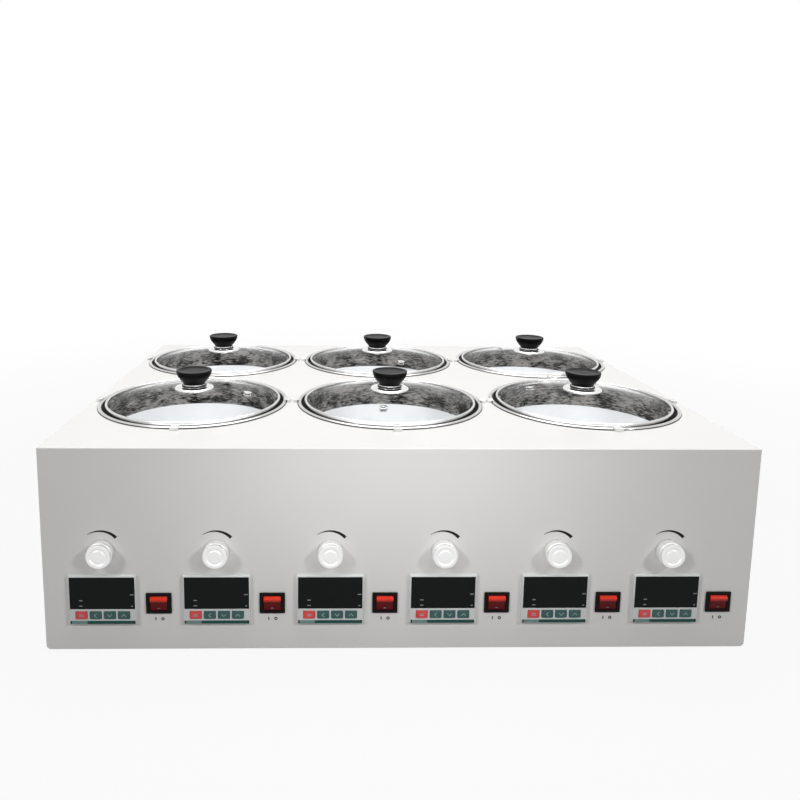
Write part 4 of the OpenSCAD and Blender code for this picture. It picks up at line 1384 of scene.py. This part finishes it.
class STIRRER_OT_inner_works(bpy.types.Operator):
    """Gives the base plate, the feet and the inner works their finishes"""

    bl_idname = "stirrer.inner_works"
    bl_label = "Inner works"
    bl_options = {"REGISTER", "UNDO"}

    def execute(self, context):
        scene = context.scene
        looks = scene.stirrer_inner
        probe = scene.stirrer_bath.steel
        finishes = {
            "base_plate": dull_metal("zinc_sheet", looks.plate, 0.38),
            "feet": moulded("foot_rubber", looks.feet, 0.7, low=0.7),
            "heater_plates": dull_metal("heater_metal", looks.heater, 0.5),
            "temperature_probes": bright_steel("probe_steel", probe, 0.18, (1, 30, 1)),
            "stirrer_motors": dull_metal("motor_enamel", looks.motor, 0.45, metallic=0.0),
            "speed_controls": dull_metal("control_metal", looks.control, 0.4),
        }
        turned = bright_steel("drive_metal", looks.drive, 0.25)
        finishes.update({f"drive_magnet_{bath}": turned for bath in BATHS})
        for solid, material in finishes.items():
            mesh = frame["nodes"][solid].data
            mesh.materials.clear()
            mesh.materials.append(material)
        return {"FINISHED"}


class STIRRER_OT_stage(bpy.types.Operator):
    """Lays the floor, hangs the lights and sets the camera"""

    bl_idname = "stirrer.stage"
    bl_label = "Stage"
    bl_options = {"REGISTER", "UNDO"}

    def execute(self, context):
        scene = context.scene
        looks = scene.stirrer_stage
        scene.view_settings.view_transform = "Standard"
        self.floor(looks)
        self.sky(scene, looks)
        deck, front = UP * DECK_Z, Vector((0, FRONT_Y, DECK_Z / 2))
        self.softbox("top_light", looks.top_place, deck, looks.top_size, looks.top_power)
        brow_place = Vector((0, FRONT_Y - looks.brow_gap, DECK_Z))
        brow_target = Vector((0, FRONT_Y, looks.brow_level * DECK_Z))
        self.softbox("brow_light", brow_place, brow_target, looks.brow_size, looks.brow_power)
        x, y, z = looks.front_place
        for name, side in (("left_light", -1), ("right_light", 1)):
            place = Vector((side * x, y, z))
            self.softbox(name, place, front, looks.front_size, looks.front_power)
        self.camera(scene, looks)
        return {"FINISHED"}

    @staticmethod
    def seen_rays(tree):
        """1 for rays of the camera and for those that metal and glass send on, else 0."""
        path = node(tree, "ShaderNodeLightPath").outputs
        seen = path["Is Camera Ray"]
        for other in ("Is Glossy Ray", "Is Transmission Ray"):
            seen = node(tree, "ShaderNodeMath", {0: seen, 1: path[other]}, operation="MAXIMUM").outputs[0]
        return seen

    def floor(self, looks):
        deselect()
        bpy.ops.mesh.primitive_plane_add(size=looks.floor_size)
        floor = bpy.context.object
        floor.name = "floor"
        material, tree, shader = finish("floor_pale", looks.floor, Roughness=0.7)
        seen = self.seen_rays(tree)
        place = node(tree, "ShaderNodeTexCoord").outputs["Object"]
        away = node(tree, "ShaderNodeVectorMath", {0: place}, operation="LENGTH").outputs["Value"]
        glow = node(
            tree, "ShaderNodeMapRange",
            {
                "Value": away, "From Min": looks.floor_near, "From Max": looks.floor_far,
                "To Min": looks.floor_glow, "To Max": 1.0,
            },
            interpolation_type="SMOOTHSTEP",
        ).outputs["Result"]
        lit = node(tree, "ShaderNodeMath", {0: seen, 1: glow}, operation="MULTIPLY").outputs[0]
        white = node(tree, "ShaderNodeEmission", {"Color": (1, 1, 1, 1), "Strength": 1.0}).outputs[0]
        mixed = node(tree, "ShaderNodeMixShader", {0: lit, 1: shader.outputs[0], 2: white})
        tree.links.new(mixed.outputs[0], tree.nodes["Material Output"].inputs["Surface"])
        floor.data.materials.append(material)

    def sky(self, scene, looks):
        world = bpy.data.worlds.new("studio")
        world.use_nodes = True
        scene.world = world
        tree = world.node_tree
        seen = self.seen_rays(tree)
        strength = node(
            tree, "ShaderNodeMapRange", {"Value": seen, "To Min": looks.sky, "To Max": 1.0}
        ).outputs["Result"]
        ground = tree.nodes["Background"]
        ground.inputs["Color"].default_value = (1, 1, 1, 1)
        tree.links.new(strength, ground.inputs["Strength"])

    @staticmethod
    def softbox(name, place, target, size, watts):
        light = bpy.data.lights.new(name, "AREA")
        light.shape = "RECTANGLE"
        light.size, light.size_y = size
        light.energy = watts
        lamp = bpy.data.objects.new(name, light)
        lamp.location = place
        lamp.rotation_euler = (target - place).to_track_quat("-Z", "Y").to_euler()
        lamp.visible_camera = False
        bpy.context.scene.collection.objects.link(lamp)

    @staticmethod
    def camera(scene, looks):
        data = bpy.data.cameras.new("photo_camera")
        data.lens, data.sensor_width = looks.lens, looks.sensor
        data.shift_x, data.shift_y = looks.shift
        data.clip_start, data.clip_end = 0.01, 100
        camera = bpy.data.objects.new("photo_camera", data)
        scene.collection.objects.link(camera)
        level, tilt = math.cos(looks.pitch), math.sin(looks.pitch)
        ahead = Vector((math.sin(looks.yaw) * level, math.cos(looks.yaw) * level, -tilt))
        right = Vector((math.cos(looks.yaw), -math.sin(looks.yaw), 0))
        down = ahead.cross(right)
        across = math.cos(looks.roll) * right + math.sin(looks.roll) * down
        upward = across.cross(ahead)
        axes = Matrix((across, upward, -ahead)).transposed().to_4x4()
        camera.matrix_world = Matrix.Translation(looks.camera_place) @ axes
        scene.camera = camera


class STIRRER_PT_panel(bpy.types.Panel):
    """Lists the steps that dress the stirrer"""

    bl_idname = "STIRRER_PT_panel"
    bl_label = "Water bath stirrer"
    bl_space_type = "VIEW_3D"
    bl_region_type = "UI"
    bl_category = "Stirrer"

    def draw(self, context):
        for step in STEPS:
            self.layout.operator(step.bl_idname)


LOOKS = {
    "stirrer_cabinet": CabinetLooks,
    "stirrer_bath": BathLooks,
    "stirrer_lid": LidLooks,
    "stirrer_control": ControlLooks,
    "stirrer_inner": InnerLooks,
    "stirrer_stage": StageLooks,
}
STEPS = (
    STIRRER_OT_stage,
    STIRRER_OT_cabinet,
    STIRRER_OT_printed_marks,
    STIRRER_OT_bath_pots,
    STIRRER_OT_rim_clips,
    STIRRER_OT_lid_glass,
    STIRRER_OT_lid_rings,
    STIRRER_OT_lid_vents,
    STIRRER_OT_lid_collars,
    STIRRER_OT_lid_knobs,
    STIRRER_OT_speed_knobs,
    STIRRER_OT_controllers,
    STIRRER_OT_keys,
    STIRRER_OT_switches,
    STIRRER_OT_cord_gland,
    STIRRER_OT_inner_works,
)


def register():
    for name, looks in LOOKS.items():
        bpy.utils.register_class(looks)
        setattr(bpy.types.Scene, name, PointerProperty(type=looks))
    for step in (*STEPS, STIRRER_PT_panel):
        bpy.utils.register_class(step)


def unregister():
    for step in reversed((*STEPS, STIRRER_PT_panel)):
        bpy.utils.unregister_class(step)
    for name, looks in LOOKS.items():
        delattr(bpy.types.Scene, name)
        bpy.utils.unregister_class(looks)


def main():
    register()
    for step in STEPS:
        getattr(bpy.ops.stirrer, step.bl_idname.partition(".")[2])()


if __name__ == "__main__":
    main()
